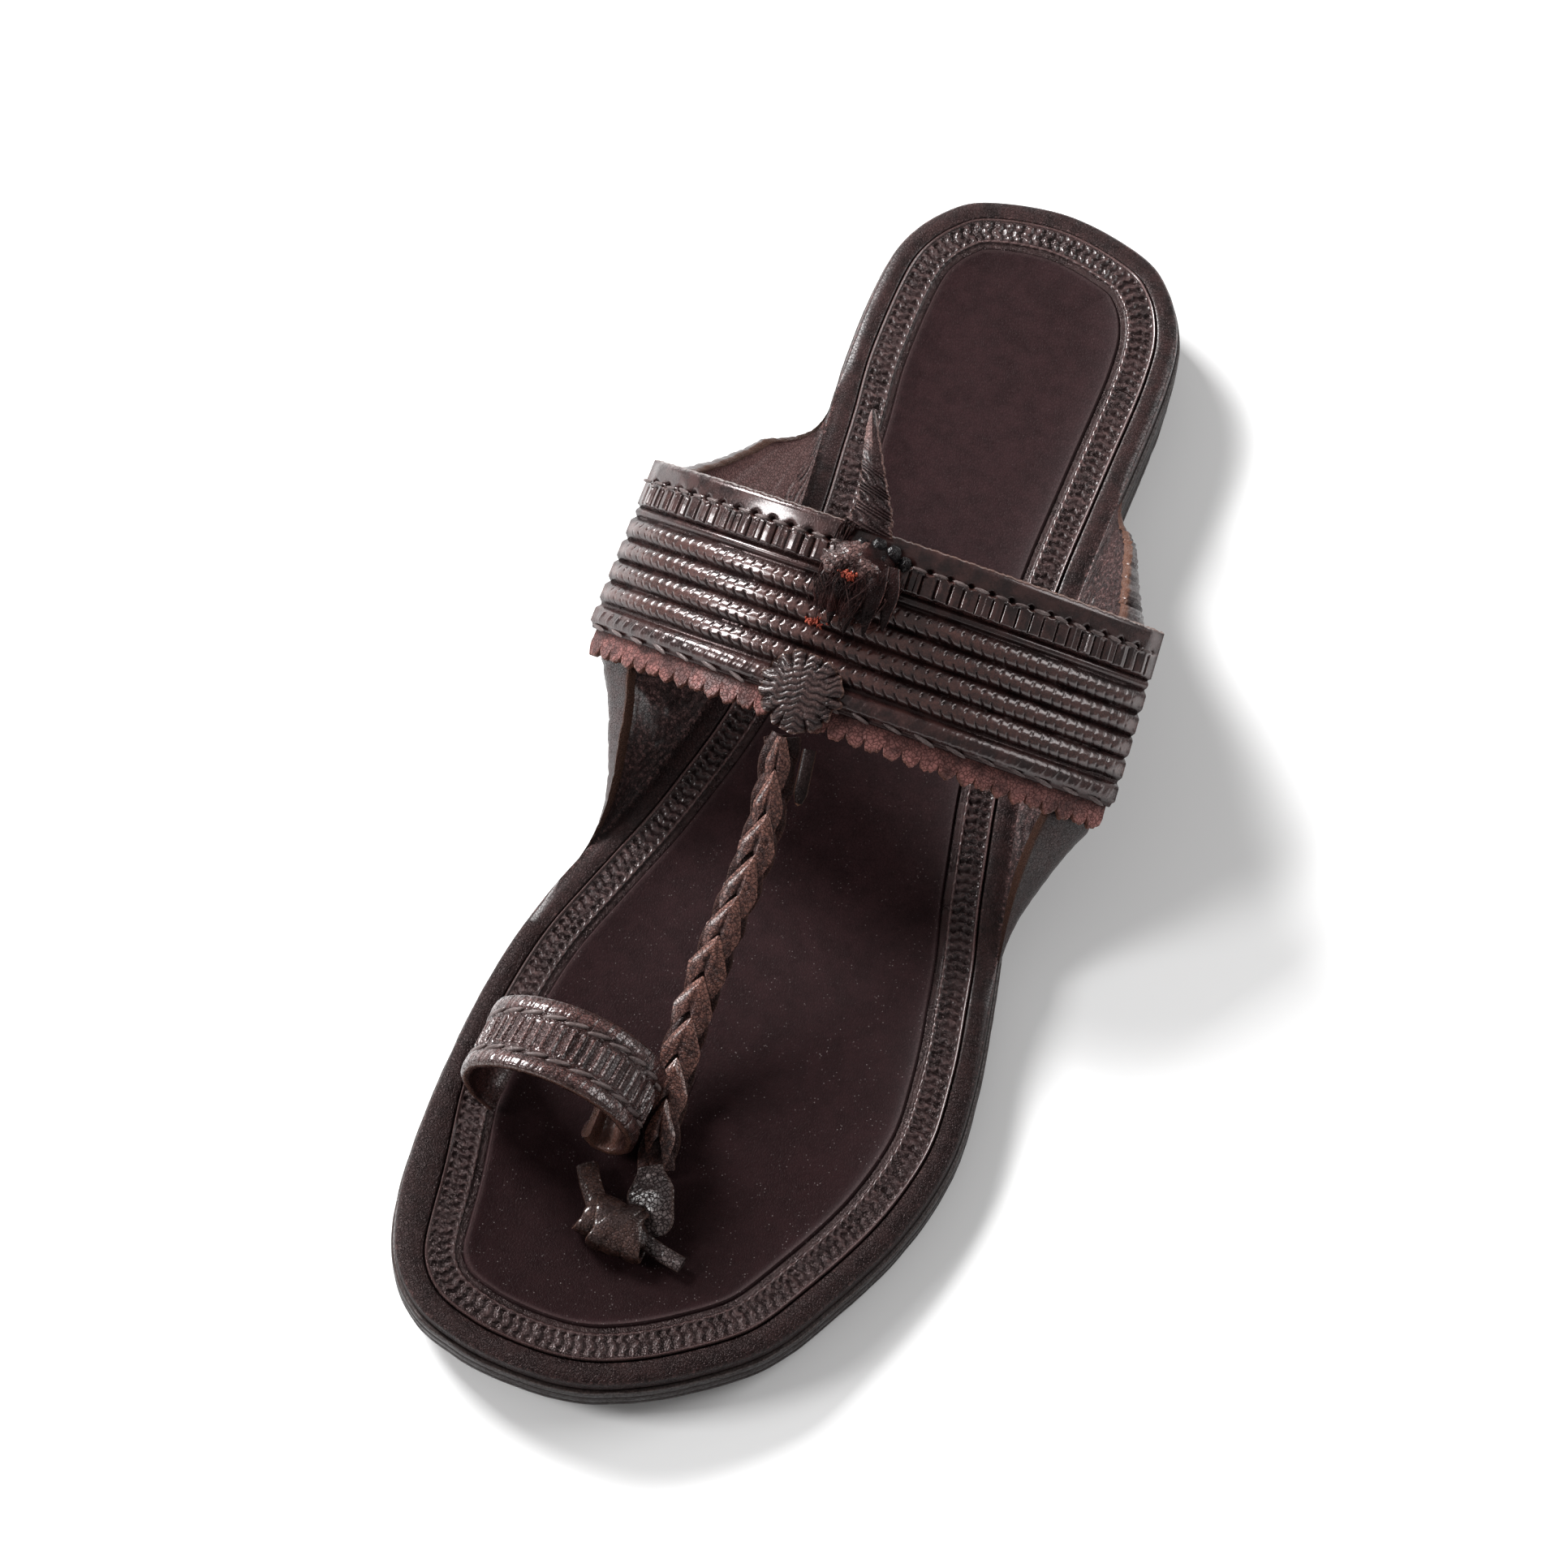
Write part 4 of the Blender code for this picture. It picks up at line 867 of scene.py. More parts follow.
# the face's lines lie close where its relief is fine: from, to and how many
SPANS = ((0.0, 4.0, 10), (4.2, 9.6, 23), (9.8, 11.6, 6), (11.75, 30.3, 72), (30.6, 35.0, 13))
face = np.concatenate([np.linspace(*span) for span in SPANS] + [[0.12, 0.25, 35.1, COVER_FRONT]])
face.sort()
height, high, low = strap_relief(along[None, :], face[:, None], share[None, :])
ragged = waver(share, 0.12, 50, 61)
rows = [on_strap(sides, at + (ragged if at < 0.3 else 0.0), level) for at, level in zip(face, height)]
under = [(35.0, -1.05), *((at, COVER_INSIDE) for at in (34.0, 24.0, 12.0, 1.0)), (0.1, -1.0)]
rows += [on_strap(sides, at, level) for at, level in under] + rows[:1]
plain = np.zeros((len(under) + 1, len(sides)))
high, low = np.vstack((high, plain)), np.vstack((low, plain))
raw = np.zeros(high.shape)
raw[:3] = np.array((1.0, 0.9, 0.5))[:, None]
raw[-3:] = np.array((0.8, 1.0, 1.0))[:, None]
raw *= 0.55 + 0.45 * smooth(np.linspace(-0.4, 1.2, len(sides)))
strap = lay_skin("strap_leather", rows, fill=True, angle=65.0, high=high, low=low, raw=raw)
strap_leather = leather(
    "Strap leather", (0.0088, 0.0042, 0.0042), (0.038, 0.0150, 0.0135), (0.095, 0.038, 0.030),
    rough=(0.20, 0.32), grain=1.5, relief=0.025, dust=0.1, shine=1.0, cracks=0.2,
)
fit(strap, "instep_strap", strap_leather)


def thread_stitch(length, width, height):
    """One short stitch of waxed thread, thick in its middle and sunk at both ends."""
    bpy.ops.mesh.primitive_uv_sphere_add(segments=8, ring_count=6, radius=0.5)
    stitch = bpy.context.active_object
    bpy.ops.transform.resize(value=(length * MM, width * MM, height * MM))
    bpy.ops.object.transform_apply(location=False, rotation=False, scale=True)
    bpy.ops.object.select_all(action="DESELECT")
    return stitch


def as_object(name, points, faces):
    """An object of these points, in millimetres, and faces, shaded smooth."""
    mesh = bpy.data.meshes.new(name)
    mesh.from_pydata(points.tolist(), [], faces)
    mesh.shade_smooth()
    held = bpy.data.objects.new(name, mesh)
    bpy.context.scene.collection.objects.link(held)
    return held


def set_out(name, pattern, frames):
    """Copies of a modelled pattern, each at a frame: its place in millimetres, then its three axes."""
    source = np.array([corner.co for corner in pattern.data.vertices])
    faces = sorted(tuple(face.vertices) for face in pattern.data.polygons)
    points, joined = [], []
    for place, *axes in frames:
        joined += [tuple(len(points) * len(source) + k for k in face) for face in faces]
        points.append((np.asarray(place) + (AXIS_X, 0.0, 0.0)) * MM + source @ np.array(axes))
    bpy.data.objects.remove(pattern)
    return as_object(name, np.vstack(points), joined)


# two rows of thread: over the waved edge from hole to hole, and along the front edge into the lining
thread = leather(
    "Waxed thread", (0.065, 0.047, 0.045), (0.16, 0.125, 0.12), (0.30, 0.25, 0.24),
    rough=(0.28, 0.42), grain=3.0, shine=0.6,
)


def strap_stitches(name, from_rear, pitch, first, length, width, level, slant):
    """A row of stitches along the strap, each laid from one hole to the next."""
    draw = np.random.default_rng(len(name))
    frames = []
    for at in np.arange(first, strap_length - 1.5, pitch):
        side = np.interp(at, along, sides)
        reach = from_rear + draw.uniform(-0.12, 0.12)
        here = on_strap(side, reach, level)
        onward = unit(on_strap(side + 0.01, reach + slant + draw.uniform(-0.06, 0.06), level) - here)
        out = unit(on_strap(side, reach, level + 1.0) - here)
        onward, out = onward * draw.uniform(0.85, 1.1), out * draw.uniform(0.8, 1.1)
        frames.append((here, onward, np.cross(unit(out), onward), out))
    fit(set_out(name, thread_stitch(length, width, STITCH_HEIGHT), frames), "instep_strap", thread)


strap_stitches(
    "strap_wave_thread", from_rear=4.5, pitch=WAVE_PITCH, first=WAVE_PITCH / 2,
    length=3.3, width=0.8, level=1.62, slant=0.02,
)
strap_stitches(
    "strap_edge_thread", from_rear=34.7, pitch=6.3, first=3.0,
    length=4.8, width=0.95, level=0.05, slant=0.15,
)

# Rosette
# The rosette is a round of pinked leather laid over the middle of the strap's front edge. It is pleated by
# the thong that ties it down, so creases run across it and notches cut its edge.

ROSETTE_X = -6.4
ROSETTE_AT = 33.6
ROSETTE_RADIUS = 8.6
ROSETTE_LOBES = 13
ROSETTE_LINES = 34
ROSETTE_LIFT = 2.35
ROSETTE_DROOP_START = 35.0
ROSETTE_DROOP = 1.5
angle = np.linspace(0.0, math.tau, ROSETTE_LOBES * 22 + 1)
reach = np.concatenate((np.linspace(0.02, 1.0, ROSETTE_LINES), [1.0, 0.97, 0.6, 0.1]))
levels = np.concatenate((np.zeros(ROSETTE_LINES), [-0.3, -0.7, -0.8, -0.8]))
wander = waver(angle / math.tau, 0.30, 3, 72)
lobe = np.abs(np.cos(ROSETTE_LOBES / 2 * (angle + wander * 0.6))) ** 0.55
uneven = 0.93 + waver(angle / math.tau, 0.06, 4, 73)
bend = waver(angle / math.tau, 0.6, 3, 71)
tooth = ROSETTE_RADIUS * uneven * (0.87 + 0.13 * lobe)
lines = []
for out_share, level in zip(reach, levels):
    on_face = level == 0.0
    x_off, y_off = out_share * tooth * np.cos(angle), out_share * tooth * np.sin(angle)
    at = ROSETTE_AT + y_off
    droop = ROSETTE_DROOP * smooth((at - ROSETTE_DROOP_START) / 7.0)
    notch = (1.0 - lobe) * smooth((out_share - 0.55) / 0.4) * on_face
    way = x_off * 0.25 + y_off + 0.5 * np.sin(x_off * 0.9 + 1.0) + 0.25 * np.sin(x_off * 2.3)
    pucker = np.abs(np.sin(way * 2.35)) ** 0.6
    roll_up = 0.7 * bell(y_off, -2.5, 2.2) - 0.5 * bell(y_off, 2.6, 0.9)
    rise = ROSETTE_LIFT - 0.5 * out_share**3 + roll_up * (1.0 - out_share**2) + bend * out_share * 0.45
    height = rise - droop - 0.7 * notch - 0.3 * (1.0 - pucker) * on_face + level
    row = on_strap((ROSETTE_X + x_off) / STRAP_HALF, at, np.maximum(height, 1.0 - droop))
    # the puckers' crests are rubbed lighter; painted shade darkens their folds and the notches
    rubbed = np.clip(pucker * 0.9 - notch, 0.0, 1.0) * on_face
    lines.append((row, rubbed, np.clip(notch * 0.7 + 0.6 * (1.0 - pucker), 0.0, 1.0) * on_face))
rows, high, low = zip(*lines)
raw = [0.35 if ROSETTE_LINES - 2 <= k < ROSETTE_LINES + 2 else 0.0 for k in range(len(rows))]
rosette_leather = leather(
    "Rosette leather", (0.011, 0.0058, 0.0058), (0.034, 0.0165, 0.0155), (0.10, 0.058, 0.052),
    rough=(0.24, 0.4), grain=1.8, relief=0.12, wear=0.6, dust=0.1, shine=0.7,
)
fit(lay_skin("rosette_leather", rows, fill=True, high=high, low=low, raw=raw), "rosette", rosette_leather)

# Pompom
# The tuft is a bunch of dark red-brown wool and leather threads. It is tied down behind, with a row of black
# beads and a small cap of brown leather over the tie, and its locks fan out toward the toe.

POMPOM_X = -1.6
POMPOM_START = 2.8
POMPOM_LENGTH = 15.6
POMPOM_WIDTH = 14.8
POMPOM_HEIGHT = 10.0
POMPOM_LOCKS = 9
# share of its length, half width as a share of the widest
POMPOM_PROFILE = (
    (0.0, 0.30), (0.05, 0.62), (0.14, 0.88), (0.28, 1.0), (0.42, 1.0),
    (0.56, 0.97), (0.70, 0.93), (0.82, 0.88), (0.92, 0.80), (1.0, 0.62),
)


def tuft_point(share, angle, scale):
    """A point of the tuft's surface: share of its length, angle round it, and scale of its section."""
    size = np.interp(share, *zip(*POMPOM_PROFILE)) * scale
    crest = np.cos(POMPOM_LOCKS * angle)
    lock = 1.0 + 0.15 * crest * smooth((share - 0.3) / 0.5)
    wide = POMPOM_WIDTH / 2 * size * lock * np.cos(angle)
    high = POMPOM_HEIGHT * (0.45 + 0.55 * size * lock * np.sin(angle))
    at = POMPOM_START + POMPOM_LENGTH * share + 4.5 * crest * np.maximum(share - 0.8, 0.0)
    return on_strap((POMPOM_X - 1.6 * share + wide) / STRAP_HALF, at, np.maximum(high, 1.75))


angle = np.linspace(0.0, math.tau, 109)
rows = [tuft_point(share, angle, 0.72) for share in np.linspace(0.0, 0.93, 24)]
wool = leather(
    "Tuft wool", (0.0045, 0.0018, 0.0017), (0.026, 0.0058, 0.0050), (0.10, 0.036, 0.030),
    rough=(0.5, 0.7), grain=2.5, relief=0.12, wear=0.3, shine=0.2,
)
fit(lay_skin("tuft_core", rows, fill=True, high=0.2), "pompom", wool)


def along_path(path, up=(0.0, 0.0, 1.0)):
    """Unit vectors at each point of a path: onward, sideways and up from it."""
    onward = unit(np.gradient(path, axis=0))
    sideways = unit(np.cross(onward, up))
    return onward, sideways, np.cross(sideways, onward)


def bundle(name, paths, radii, sides=5):
    """Threads as one mesh: each path is a row of points with a radius at each of them."""
    turn = np.linspace(0.0, math.tau, sides, endpoint=False)
    points, faces = [], []
    for path, radius in zip(paths, radii):
        first = sum(len(rows) for rows in points)
        _, across, up = along_path(path, STRAP_OUT)
        ring = across[:, None] * np.cos(turn)[None, :, None] + up[:, None] * np.sin(turn)[None, :, None]
        points.append((path[:, None] + ring * np.asarray(radius)[:, None, None]).reshape(-1, 3))
        for row in range(len(path) - 1):
            low = first + row * sides
            for k in range(sides):
                after = (k + 1) % sides
                faces.append((low + k, low + after, low + sides + after, low + sides + k))
        last = first + (len(path) - 1) * sides
        faces.append(tuple(range(first + sides - 1, first - 1, -1)))
        faces.append(tuple(range(last, last + sides)))
    threads = as_object(name, (np.vstack(points) + (AXIS_X, 0.0, 0.0)) * MM, faces)
    draw = np.random.default_rng(len(points))
    shade = np.concatenate([np.full(len(rows), draw.uniform(0.0, 1.0)) for rows in points])
    high = threads.data.attributes.new("high", "FLOAT", "POINT")
    high.data.foreach_set("value", shade.astype(np.float32))
    return threads


def strip_section(turn, crown):
    """A strip's section, crowned on both faces: its shares across and up, and how near a cut edge is."""
    wide = np.sign(np.cos(turn)) * np.abs(np.cos(turn)) ** 0.7
    tall = np.sign(np.sin(turn)) * np.abs(np.sin(turn)) ** 0.7 * (1.0 - crown * wide**2)
    return wide, tall, np.clip(np.abs(wide) * 5.0 - 4.2, 0.0, 1.0)


def flat_strip(path, half, thick, crown, around=18, up=(0.0, 0.0, 1.0)):
    """Points of a leather strip along a path, crowned on both faces and thinned to its cut edges.

    half may change along the path. It also gives how near each point is to a cut edge and to the crest.
    """
    _, sideways, up = along_path(path, up)
    wide, tall, edge = strip_section(np.linspace(0.0, math.tau, around + 1), crown)
    half = np.broadcast_to(half, len(path))[:, None]
    points = path[:, None] + sideways[:, None] * (wide * half)[..., None]
    points = points + up[:, None] * (tall * thick)[:, None]
    crest = np.clip(1.0 - np.abs(wide), 0.0, 1.0)
    return points, np.broadcast_to(edge, points.shape[:2]), np.broadcast_to(crest, points.shape[:2])


def join(pieces, name):
    """Joins the pieces into the first of them, under the new name."""
    for piece in pieces:
        piece.select_set(True)
    bpy.context.view_layer.objects.active = pieces[0]
    bpy.ops.object.join()
    bpy.ops.object.select_all(action="DESELECT")
    pieces[0].name = pieces[0].data.name = name
    return pieces[0]


# the locks: curled strips of dyed leather that arch from under the cap and hang toward the toe
# x where it starts and ends, how far it reaches from the strap's rear edge, height of its arch, half width
LOCKS = (
    (-5.2, -8.4, 17.4, 6.6, 1.9),
    (-3.6, -5.2, 19.6, 7.9, 2.1),
    (-1.4, -2.0, 20.4, 8.6, 2.0),
    (1.0, 1.4, 19.6, 8.3, 2.1),
    (3.0, 4.4, 17.6, 7.2, 1.9),
)
LOCK_START = 6.0
LOCK_ROOT = 5.0
LOCK_POINTS = 34
locks = []
shares = np.linspace(0.0, 1.0, LOCK_POINTS)
for number, (x_from, x_to, end_at, arch, half) in enumerate(LOCKS):
    at = LOCK_START + (end_at - LOCK_START) * shares**0.9
    x = x_from + (x_to - x_from) * np.sin(shares * math.pi / 2)
    arching = np.sin(math.pi * np.clip(0.15 + 0.75 * shares, 0.0, 1.0))
    height = LOCK_ROOT + (arch - LOCK_ROOT) * arching - 2.2 * shares**3
    path = on_strap(x / STRAP_HALF, at, height)
    bulge = 0.65 + 0.35 * np.sin(math.pi * np.clip(shares * 1.4, 0.0, 1.0))
    taper = half * bulge * (1.0 - 0.85 * shares**5)
    points, edge, _ = flat_strip(path, taper, thick=0.62, crown=0.75, around=20, up=STRAP_OUT)
    ripple = 0.17 * np.sin(np.linspace(0.0, math.tau * 4, points.shape[1]) + number)
    points = points + STRAP_OUT * (ripple * (0.4 + 0.6 * shares[:, None]))[..., None]
    shaded = np.clip(0.25 + shares[:, None] * 0.9 - 1.4 * edge, 0.0, 1.0)
    locks.append(lay_skin(f"lock_{number}", points, fill=True, high=edge * 1.3, low=shaded))
lock_leather = leather(
    "Lock leather", (0.0045, 0.0017, 0.0017), (0.019, 0.0042, 0.0040), (0.24, 0.10, 0.088),
    rough=(0.3, 0.5), grain=1.6, relief=0.14, wear=0.8, shine=0.5,
)
fit(join(locks, "tuft_locks"), "pompom", lock_leather)

# the threads of wool over the tuft, and the two patches of red fluff
WOOL_THREADS = 70
FLUFF_THREADS = 46
# x, distance from the strap's rear edge and height of each patch
FLUFF_PATCHES = ((-3.9, 9.9, 9.2), (-8.3, 20.2, 2.0))
draw = np.random.default_rng(81)
paths, radii = [], []
for _ in range(WOOL_THREADS):
    around = draw.uniform(0.05, math.pi - 0.05)
    shares = np.linspace(draw.uniform(0.25, 0.6), draw.uniform(0.85, 1.06), 9)
    scale = draw.uniform(0.84, 1.05)
    sway = around + draw.normal(0.0, 0.2) * shares + 0.16 * np.sin(shares * 7.0 + draw.uniform(0.0, 6.0))
    paths.append(tuft_point(shares, sway, scale))
    radii.append(draw.uniform(0.07, 0.17) * np.linspace(1.0, 0.5, 9))
fit(bundle("tuft_threads", paths, radii), "pompom", wool)
shares = np.linspace(0.0, 1.0, 6)
paths, radii = [], []
for x_at, rear_at, level in FLUFF_PATCHES:
    for _ in range(FLUFF_THREADS):
        x = x_at + draw.normal(0.0, 0.75) + shares * draw.uniform(-0.7, 0.7)
        at = rear_at + draw.normal(0.0, 0.42) + shares * draw.uniform(-0.4, 1.0)
        height = level + 0.5 * np.sin(shares * 3.0) + draw.uniform(-0.3, 0.4)
        paths.append(on_strap(x / STRAP_HALF, at, height))
        radii.append(draw.uniform(0.16, 0.30) * np.linspace(1.0, 0.5, 6))
red_fluff = leather(
    "Red fluff", (0.16, 0.022, 0.012), (0.36, 0.055, 0.028), (0.45, 0.11, 0.06),
    rough=(0.6, 0.8), grain=2.5, relief=0.1,
)
fit(bundle("tuft_red_fluff", paths, radii), "pompom", red_fluff)

# the beads: x, distance from the strap's rear edge, height and size of each
BEAD_RADIUS = 1.75
BEADS = (
    (-3.9, 3.9, 5.4, 0.85), (-1.0, 3.1, 5.0, 1.0), (1.9, 3.6, 4.6, 1.0), (4.4, 4.6, 3.9, 0.8),
    (0.6, 5.2, 6.4, 0.62),
)
frames = [
    (on_strap(x / STRAP_HALF, at, level), STRAP_ACROSS * size * 0.86, STRAP_WAY * size, STRAP_OUT * size)
    for x, at, level, size in BEADS
]
bpy.ops.mesh.primitive_uv_sphere_add(segments=24, ring_count=16, radius=BEAD_RADIUS * MM)
bead = bpy.context.active_object
for vertex in bead.data.vertices:
    x, y, z = vertex.co / MM
    vertex.co *= 1.0 + 0.08 * math.sin(3.1 * x + 1.0) * math.sin(2.7 * y) + 0.07 * math.sin(3.7 * z + x)
bpy.ops.object.select_all(action="DESELECT")
bead_black = leather(
    "Black beads", (0.0020, 0.0021, 0.0028), (0.0055, 0.0050, 0.0062), (0.03, 0.026, 0.028),
    rough=(0.26, 0.5), grain=1.6, relief=0.3, wear=0.3,
)
fit(set_out("tuft_beads", bead, frames), "pompom", bead_black)

# the crumpled cap of brown leather over the tie
CAP_LINES = 30
CAP_HALF_WIDTH, CAP_HALF_LENGTH = 6.8, 4.7
CAP_X, CAP_AT, CAP_TOP = -2.6, 8.0, 9.2
angle = np.linspace(0.0, math.tau, 121)
reach = np.concatenate((np.linspace(0.03, 1.0, CAP_LINES), [0.98, 0.6, 0.1]))
below = np.concatenate((np.zeros(CAP_LINES), [-0.7, -1.0, -1.0]))
outline = 1.0 + waver(angle / math.tau, 0.16, 4, 82)
lines = []
for share_out, level in zip(reach, below):
    x_off = CAP_HALF_WIDTH * outline * share_out * np.cos(angle)
    y_off = CAP_HALF_LENGTH * outline * share_out * np.sin(angle) + 0.10 * x_off
    crumple = 0.8 * np.abs(np.sin(0.55 * x_off + 0.4 * y_off + 0.8))
    crumple = crumple + 0.5 * np.abs(np.sin(1.1 * y_off - 0.5 * x_off))
    crumple = crumple + 0.22 * np.abs(np.sin(2.3 * x_off + 1.3 * y_off + np.sin(y_off * 2.0)))
    height = CAP_TOP - 2.2 * share_out**2.2 - 0.12 * x_off - 0.30 * np.abs(y_off) * share_out + level
    height = height + crumple * (0.4 + 0.6 * share_out) - 0.8
    row = on_strap((CAP_X + x_off) / STRAP_HALF, CAP_AT + y_off, height)
    # the crumples' ridges are rubbed lighter; painted shade darkens their hollows
    lines.append((row, np.clip(crumple * 0.75, 0.0, 1.0), np.clip(0.7 - crumple * 1.5, 0.0, 1.0)))
rows, high, low = zip(*lines)
cap_leather = leather(
    "Cap leather", (0.020, 0.0088, 0.0080), (0.062, 0.028, 0.0250), (0.17, 0.088, 0.078),
    rough=(0.26, 0.46), grain=1.3, relief=0.2, wear=0.6, shine=0.7, cracks=0.8,
)
fit(lay_skin("tuft_cap", rows, fill=True, angle=70.0, high=high, low=low), "pompom", cap_leather)

# Leaf tab
# The leaf is a long pointed tongue of leather that stands back over the strap's rear edge. It is creased
# along its middle, its base is cut in a short fringe, and its cut edges have worn pale.

LEAF_START = 0.8
LEAF_LENGTH = 22.0
LEAF_ROWS = 200
FRINGE_THREADS = 22
# share of its length from the strap's rear edge, x of its middle on the strap, half width
LEAF = (
    (0.0, -4.6, 4.9), (0.08, -4.3, 4.2), (0.18, -4.3, 3.6), (0.32, -5.4, 3.0), (0.48, -6.8, 2.4),
    (0.64, -8.2, 1.9), (0.80, -9.7, 1.3), (0.92, -10.7, 0.8), (1.0, -11.3, 0.3),
)
FACE_POINTS = 25
offsets = np.concatenate((np.linspace(-1.0, 1.0, FACE_POINTS), np.linspace(1.0, -1.0, 9)))
lifts = (1.0 - np.abs(offsets)) * np.where(np.arange(len(offsets)) < FACE_POINTS, 0.6, 0.5)
lifts[:FACE_POINTS] += 1.2
offsets, lifts = np.append(offsets, offsets[0]), np.append(lifts, lifts[0])
top_face = lifts > 1.0
groove = bell(offsets, 0.0, 0.3) * (np.arange(len(offsets)) < FACE_POINTS)
leaf_share, leaf_middle, leaf_half = zip(*LEAF)
lines = []
for share in np.linspace(0.0, 1.0, LEAF_ROWS):
    half = np.interp(share, leaf_share, leaf_half)
    nick = 1.0 + 0.05 * math.sin(share * 61.0) + 0.03 * math.sin(share * 137.0)
    side = (np.interp(share, leaf_share, leaf_middle) + offsets * half * nick) / STRAP_HALF
    slant = share * LEAF_LENGTH / 0.95 + 1.5 * offsets + 0.5 * np.sin(share * 37.0)
    barb = np.abs(np.sin(math.pi * slant)) ** 0.6
    barbs = (1.0 - barb) * top_face * float(smooth((0.62 - share) / 0.2))
    height = 1.75 + 1.6 * share - 3.0 * share**2 + lifts - 0.15 * groove - 0.42 * barbs
    # painted highlight: the tip's left half and the left side of the barbs' crests are painted lighter;
    # painted shade darkens the barbs' grooves
    tip_painted_highlight = 0.9 * smooth((share - 0.60) / 0.2) * (offsets < 0.15)
    shine = (tip_painted_highlight + 0.9 * barb**6 * (0.45 - 0.5 * offsets)) * top_face
    rubbed = np.clip(0.2 + 0.75 * (offsets > 0.86) + shine - 0.1, 0.0, 1.0)
    cut = np.clip((np.abs(offsets) - 0.93) * 8.0, 0.0, 0.4)
    lines.append((on_strap(side, LEAF_START - LEAF_LENGTH * share, height), rubbed, cut, barbs * 0.9))
rows, high, raw, low = zip(*lines)
leaf_leather = leather(
    "Leaf leather", (0.009, 0.0042, 0.0042), (0.026, 0.0108, 0.0108), (0.20, 0.115, 0.105),
    rough=(0.28, 0.45), grain=1.7, relief=0.14, wear=0.9, dust=0.2, shine=0.6,
)
fit(lay_skin("leaf_leather", rows, fill=True, high=high, raw=raw, low=low), "leaf_tab", leaf_leather)
draw = np.random.default_rng(91)
shares = np.linspace(0.0, 1.0, 6)
paths, radii = [], []
for _ in range(FRINGE_THREADS):
    begin = draw.uniform(-9.4, -6.5)
    lean = draw.uniform(-0.8, 0.4)
    at = draw.uniform(-0.5, 1.5) + shares * draw.uniform(1.6, 3.4)
    height = 3.1 - 1.1 * shares**2 + 0.2 * draw.uniform()
    paths.append(on_strap((begin + lean * shares) / STRAP_HALF, at, height))
    radii.append(draw.uniform(0.16, 0.26) * np.linspace(1.0, 0.6, 6))
fit(bundle("leaf_fringe", paths, radii), "leaf_tab", wool)

# Braid
# The thong is a flat plait of three strips of tan leather, from under the rosette down to the toe knot.
# Each strip shows as a scale that leans in from the side and goes under the next; the crests are worn.

BRAID_PATH = (
    (-9.0, -13.6, 47.6), (-7.5, -20.4, 43.6), (-6.3, -30.0, 38.2), (-6.4, -38.6, 33.4), (-6.9, -47.6, 28.2),
    (-7.1, -54.0, 24.2), (-7.2, -60.0, 20.6), (-6.8, -67.2, 17.3), (-5.7, -74.8, 15.1), (-4.7, -81.4, 14.0),
    (-3.2, -87.4, 13.0), (-2.2, -91.2, 12.4),
)
BRAID_POINTS = 480
PLAIT_LENGTH = 21.6
PLAIT_SWAY = 1.5
PLAIT_RISE = 0.6
PLAIT_SUNK = 0.75
STRIPS = 3
STRIP_HALF = 2.35
STRIP_THICK = 0.55
middle = even(spline(BRAID_PATH, 16), BRAID_POINTS)
_, sideways, up = along_path(middle)
distance = np.linspace(0.0, lengths(middle)[-1], BRAID_POINTS)
strips = []
for number in range(STRIPS):
    phase = math.tau * (distance / PLAIT_LENGTH + number / STRIPS)
    wide = PLAIT_SWAY * np.sin(phase)
    tall = PLAIT_RISE * np.sin(2.0 * phase) - PLAIT_SUNK
    path = middle + sideways * wide[:, None] + up * tall[:, None]
    pulled = STRIP_HALF * (1.0 + waver(distance / distance[-1], 0.05, 9, 97 + number))
    points, edge, crest = flat_strip(path, pulled, STRIP_THICK, crown=0.55, around=24)
    # painted shade darkens the strips that lie under the scales
    strips.append(lay_skin(f"strip_{number}", points, fill=True, high=crest * 0.3, raw=edge * 0.2, low=0.5))
# the folded scales: one's outline is its length, in shares of SCALE_RUN, at each place across it
SCALE_PITCH = 8.35
SCALE_RUN = 11.4
SCALE_HALF = 3.75
SCALE_POINTS = 41
FIRST_SCALE = -2.0
LAST_SCALE_TO_END = 6.0
ACROSS = (-1.0, -0.86, -0.64, -0.34, -0.10, 0.16, 0.52, 0.80, 1.0)
ENDS = (0.62, 0.88, 1.0, 0.76, 0.66, 0.84, 1.22, 1.02, 0.74)
draw = np.random.default_rng(93)
places = np.arange(FIRST_SCALE, distance[-1] - LAST_SCALE_TO_END, SCALE_PITCH)
over = np.linspace(-1.0, 1.0, SCALE_POINTS)
over = np.concatenate((over, np.linspace(1.0, -1.0, SCALE_POINTS)[1:]))
under_side = np.arange(len(over)) >= SCALE_POINTS
reach = np.interp(over, ACROSS, ENDS)
